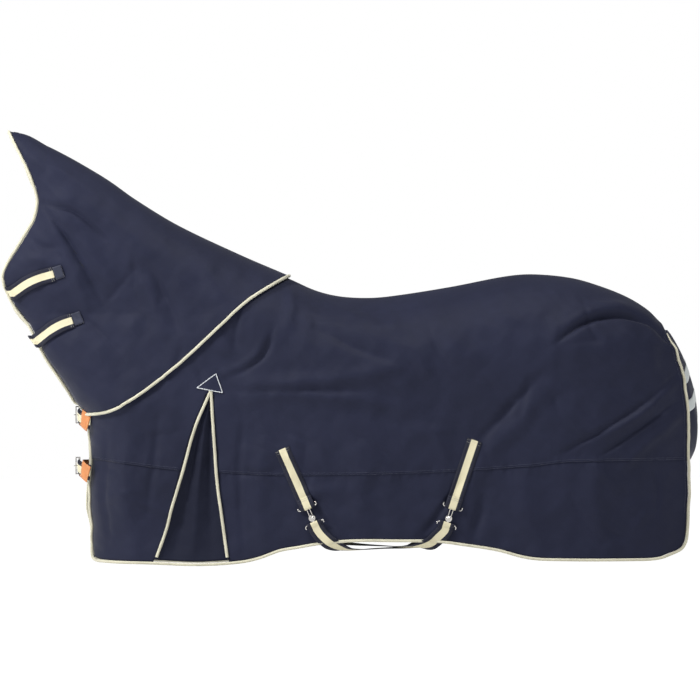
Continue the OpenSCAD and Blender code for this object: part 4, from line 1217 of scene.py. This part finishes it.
def cross_strap(tag):
    """Strap under the belly, from its fold round the lower bar to its sewn far end."""
    top, bar, turn, low = FITTINGS[tag]
    up, out, across = strap_frame(top, bar)
    eye = eye_point(top, bar)
    start = eye - STRAP_START * up
    far_x = 2 * BELLY_X - eye[0] - turn * 14
    x = eye[0]
    near = [start, tuple(eye - 24 * up), (x + turn * 27, -clear_at(x + turn * 27, turn), -848),
            (x + turn * 56, 1 - clear_at(x + turn * 56, turn), -872),
            (x + turn * 103, 44 - clear_at(x, turn), low + 2), (BELLY_X, 0, low)]
    far = [(far_x - turn * 88, clear_at(far_x, -turn) - 44, low + 2),
           (far_x - turn * 46, clear_at(far_x - turn * 46, -turn) - 1, -875),
           (far_x - turn * 18, HINGE_Y, -853),
           (far_x, HINGE_Y, HINGE_Z - 8), (far_x + turn * 12, HINGE_Y + 0.5, HINGE_Z + 18)]
    corners = np.array(near + far, float)
    outs = np.array([out, out, (0, -1, -0.15), (0, -0.85, -0.5), (0, -0.3, -1), (0, 0, -1),
                     (0, 0.3, -1), (0, 0.85, -0.5), (0, 1, -0.15), (0, 1, 0), (0, 1, 0)], float)
    share = np.linspace(0, 1, 220)
    path = along(corners, share)
    c = running(corners)
    normals = spread(share * c[-1], c, outs)
    web = band("cross_strap_%s_webbing" % tag, path, normals, WEB_WIDTH, 2.0, WEBBING)
    body = "cross_strap_%s_free" % tag
    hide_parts("cross_strap_" + tag)
    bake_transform(web)
    fold = web_fold("cross_strap_%s_fold" % tag, eye, -up, out, -across, WEBBING, leg=22)
    place(fold, body, ["cross_strap_" + tag])
    return web


def far_anchor(tag, other):
    top = FITTINGS[tag][0]
    other_eye = eye_point(*FITTINGS[other][:2])
    end_x = 2 * BELLY_X - other_eye[0] - FITTINGS[other][2] * 14
    line = [top, ((top[0] + end_x) / 2, (top[1] + HINGE_Z) / 2), (end_x, HINGE_Z + 3)]
    web = strap("far_strap_anchor_%s_webbing" % tag, line, WEB_WIDTH, 0.8, WEBBING, FAR, thick=2.2)
    place(web, "rug", ["far_strap_anchor_" + tag])


# ---------------------------------------------------------------- dark stitch line by the rear edge
def rear_stitches(side_name, side_sign):
    line = beside((REAR_UPPER + REAR_LOWER[1:3]), -9)
    path, lifts = side_row(line[1:], 0.8, side_sign)
    sewn = stitches(side_name + "_rear_zigzag", [path], [lifts], TONE_THREAD, pitch=6 * MM,
                    long=5 * MM, radius=0.6 * MM, zigzag=4 * MM)
    place(sewn, "rug")


def seam_stitches(side_name, side_sign):
    """Two rows of stitches along the lower seam, each side of the pleat."""
    for tag, x0, x1 in (("front", -648, -368), ("rear", -226, 1296)):
        paths, lifts = zip(*[side_row(raised(stretch_of(SEAM, x0, x1, 60), dz), 0.7, side_sign)
                             for dz in (3, 9)])
        sewn = stitches("%s_seam_stitches_%s" % (side_name, tag), paths, lifts, TONE_THREAD)
        place(sewn, "rug")


# ---------------------------------------------------------------- stage, light and camera
FLOOR_Z, FLOOR_HALF = -1.46, 60.0
CENTRE = (0.198, 0.0, -0.238)
CAMERA_DISTANCE, LENS = 32.08, 500
HORIZON_GLOW, SKY_GLOW = 1.0, 0.13


def pale_paint():
    """Matt white floor that glows away from the rug, so that the background stays white."""
    p = Paint("pale_floor", (0.90, 0.90, 0.90), 0.9, specular=0.1)
    away = p.add("VectorMath", operation="LENGTH")
    p.link(p.at, away.inputs[0])
    glow = p.mul(p.maths("SUBTRACT", away.outputs["Value"], 1.0), 0.45)
    p.set("Emission Color", (1, 1, 1, 1))
    p.link(p.limited(glow, 0.0, 0.9), p.bsdf.inputs["Emission Strength"])
    return p.mat


def pale_floor():
    verts = [(x * FLOOR_HALF, y * FLOOR_HALF, 0) for x, y in ((-1, -1), (1, -1), (1, 1), (-1, 1))]
    floor = new_object("floor", verts, [(0, 1, 2, 3)], pale_paint())
    floor.location = (CENTRE[0], 0, FLOOR_Z)


def area_light(name, place_at, aim, size, power):
    data = bpy.data.lights.new(name, "AREA")
    data.shape, data.size, data.size_y, data.energy = "RECTANGLE", size, size, power
    obj = bpy.data.objects.new(name, data)
    bpy.context.collection.objects.link(obj)
    obj.location = place_at
    obj.rotation_euler = (Vector(aim) - Vector(place_at)).to_track_quat("-Z", "Y").to_euler()


def set_lights():
    world = bpy.data.worlds.new("studio")
    bpy.context.scene.world = world
    world.use_nodes = True
    back = world.node_tree.nodes["Background"]
    back.inputs["Color"].default_value = (1, 1, 1, 1)
    sky = Nodes(world.node_tree)
    ray = sky.add("SeparateXYZ")
    sky.link(sky.add("TexCoord").outputs["Generated"], ray.inputs[0])
    height = sky.maths("SUBTRACT", sky.maths("ABSOLUTE", ray.outputs["Z"]), 0.06)
    fall = sky.mul(height, -(HORIZON_GLOW - SKY_GLOW) / 0.25)
    glow = sky.maths("ADD", fall, HORIZON_GLOW)
    sky.link(sky.limited(glow, SKY_GLOW, HORIZON_GLOW), back.inputs["Strength"])
    area_light("key", (-4.6, -2.6, 3.6), (0.2, 0, -0.3), 1.6, 460)
    area_light("top", (1.2, -1.9, 5.0), (0.3, 0, -0.3), 1.8, 240)
    bpy.context.scene.view_settings.view_transform = "Standard"


def set_camera():
    data = bpy.data.cameras.new("camera")
    data.lens, data.sensor_width, data.clip_end = LENS, 36, 200
    obj = bpy.data.objects.new("camera", data)
    bpy.context.collection.objects.link(obj)
    obj.location = (CENTRE[0], -CAMERA_DISTANCE, CENTRE[2])
    obj.rotation_euler = (math.radians(90), 0, 0)
    bpy.context.scene.camera = obj


# ---------------------------------------------------------------- the whole rug
def build_side(side_name, side_sign):
    side_cloth = side_panel(side_name, side_sign)
    front, rear = lower_panels(side_name, side_sign)
    pleat = gusset(side_name, side_sign)
    lining = body_lining(side_name, side_sign)
    body_binding(side_name, side_sign)
    gusset_piping(side_name, side_sign)
    cover, cover_lining = neck_cover(side_name, side_sign)
    neck_pipings(side_name, side_sign)
    patch_cloth = patch(side_name, side_sign)
    rear_stitches(side_name, side_sign)
    seam_stitches(side_name, side_sign)


def build_straps():
    for tag, line, tab_line in NECK_STRAPS:
        neck_strap(tag, line, tab_line)
    for tag, other in (("front", "rear"), ("rear", "front")):
        surcingle(tag)
        cross_strap(tag)
        far_anchor(tag, other)
    for tag in CHEST_Z:
        chest_closure(tag)


def plate_fittings():
    """The metal keeps its CAD shape and gets its plated finish."""
    for kind, tags in (("chest_buckle_", CHEST_Z), ("chest_tongue_", CHEST_Z),
                       ("surcingle_hook_", FITTINGS), ("surcingle_eye_", FITTINGS)):
        for tag in tags:
            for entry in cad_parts[kind + tag].material_slots:
                entry.link = "OBJECT"
                entry.material = STEEL


seam_tape()
for side_name, side_sign in SIDES:
    build_side(side_name, side_sign)
flap_cloth, flap_bands = tail_flap()
build_straps()
plate_fittings()
pale_floor()
set_lights()
set_camera()
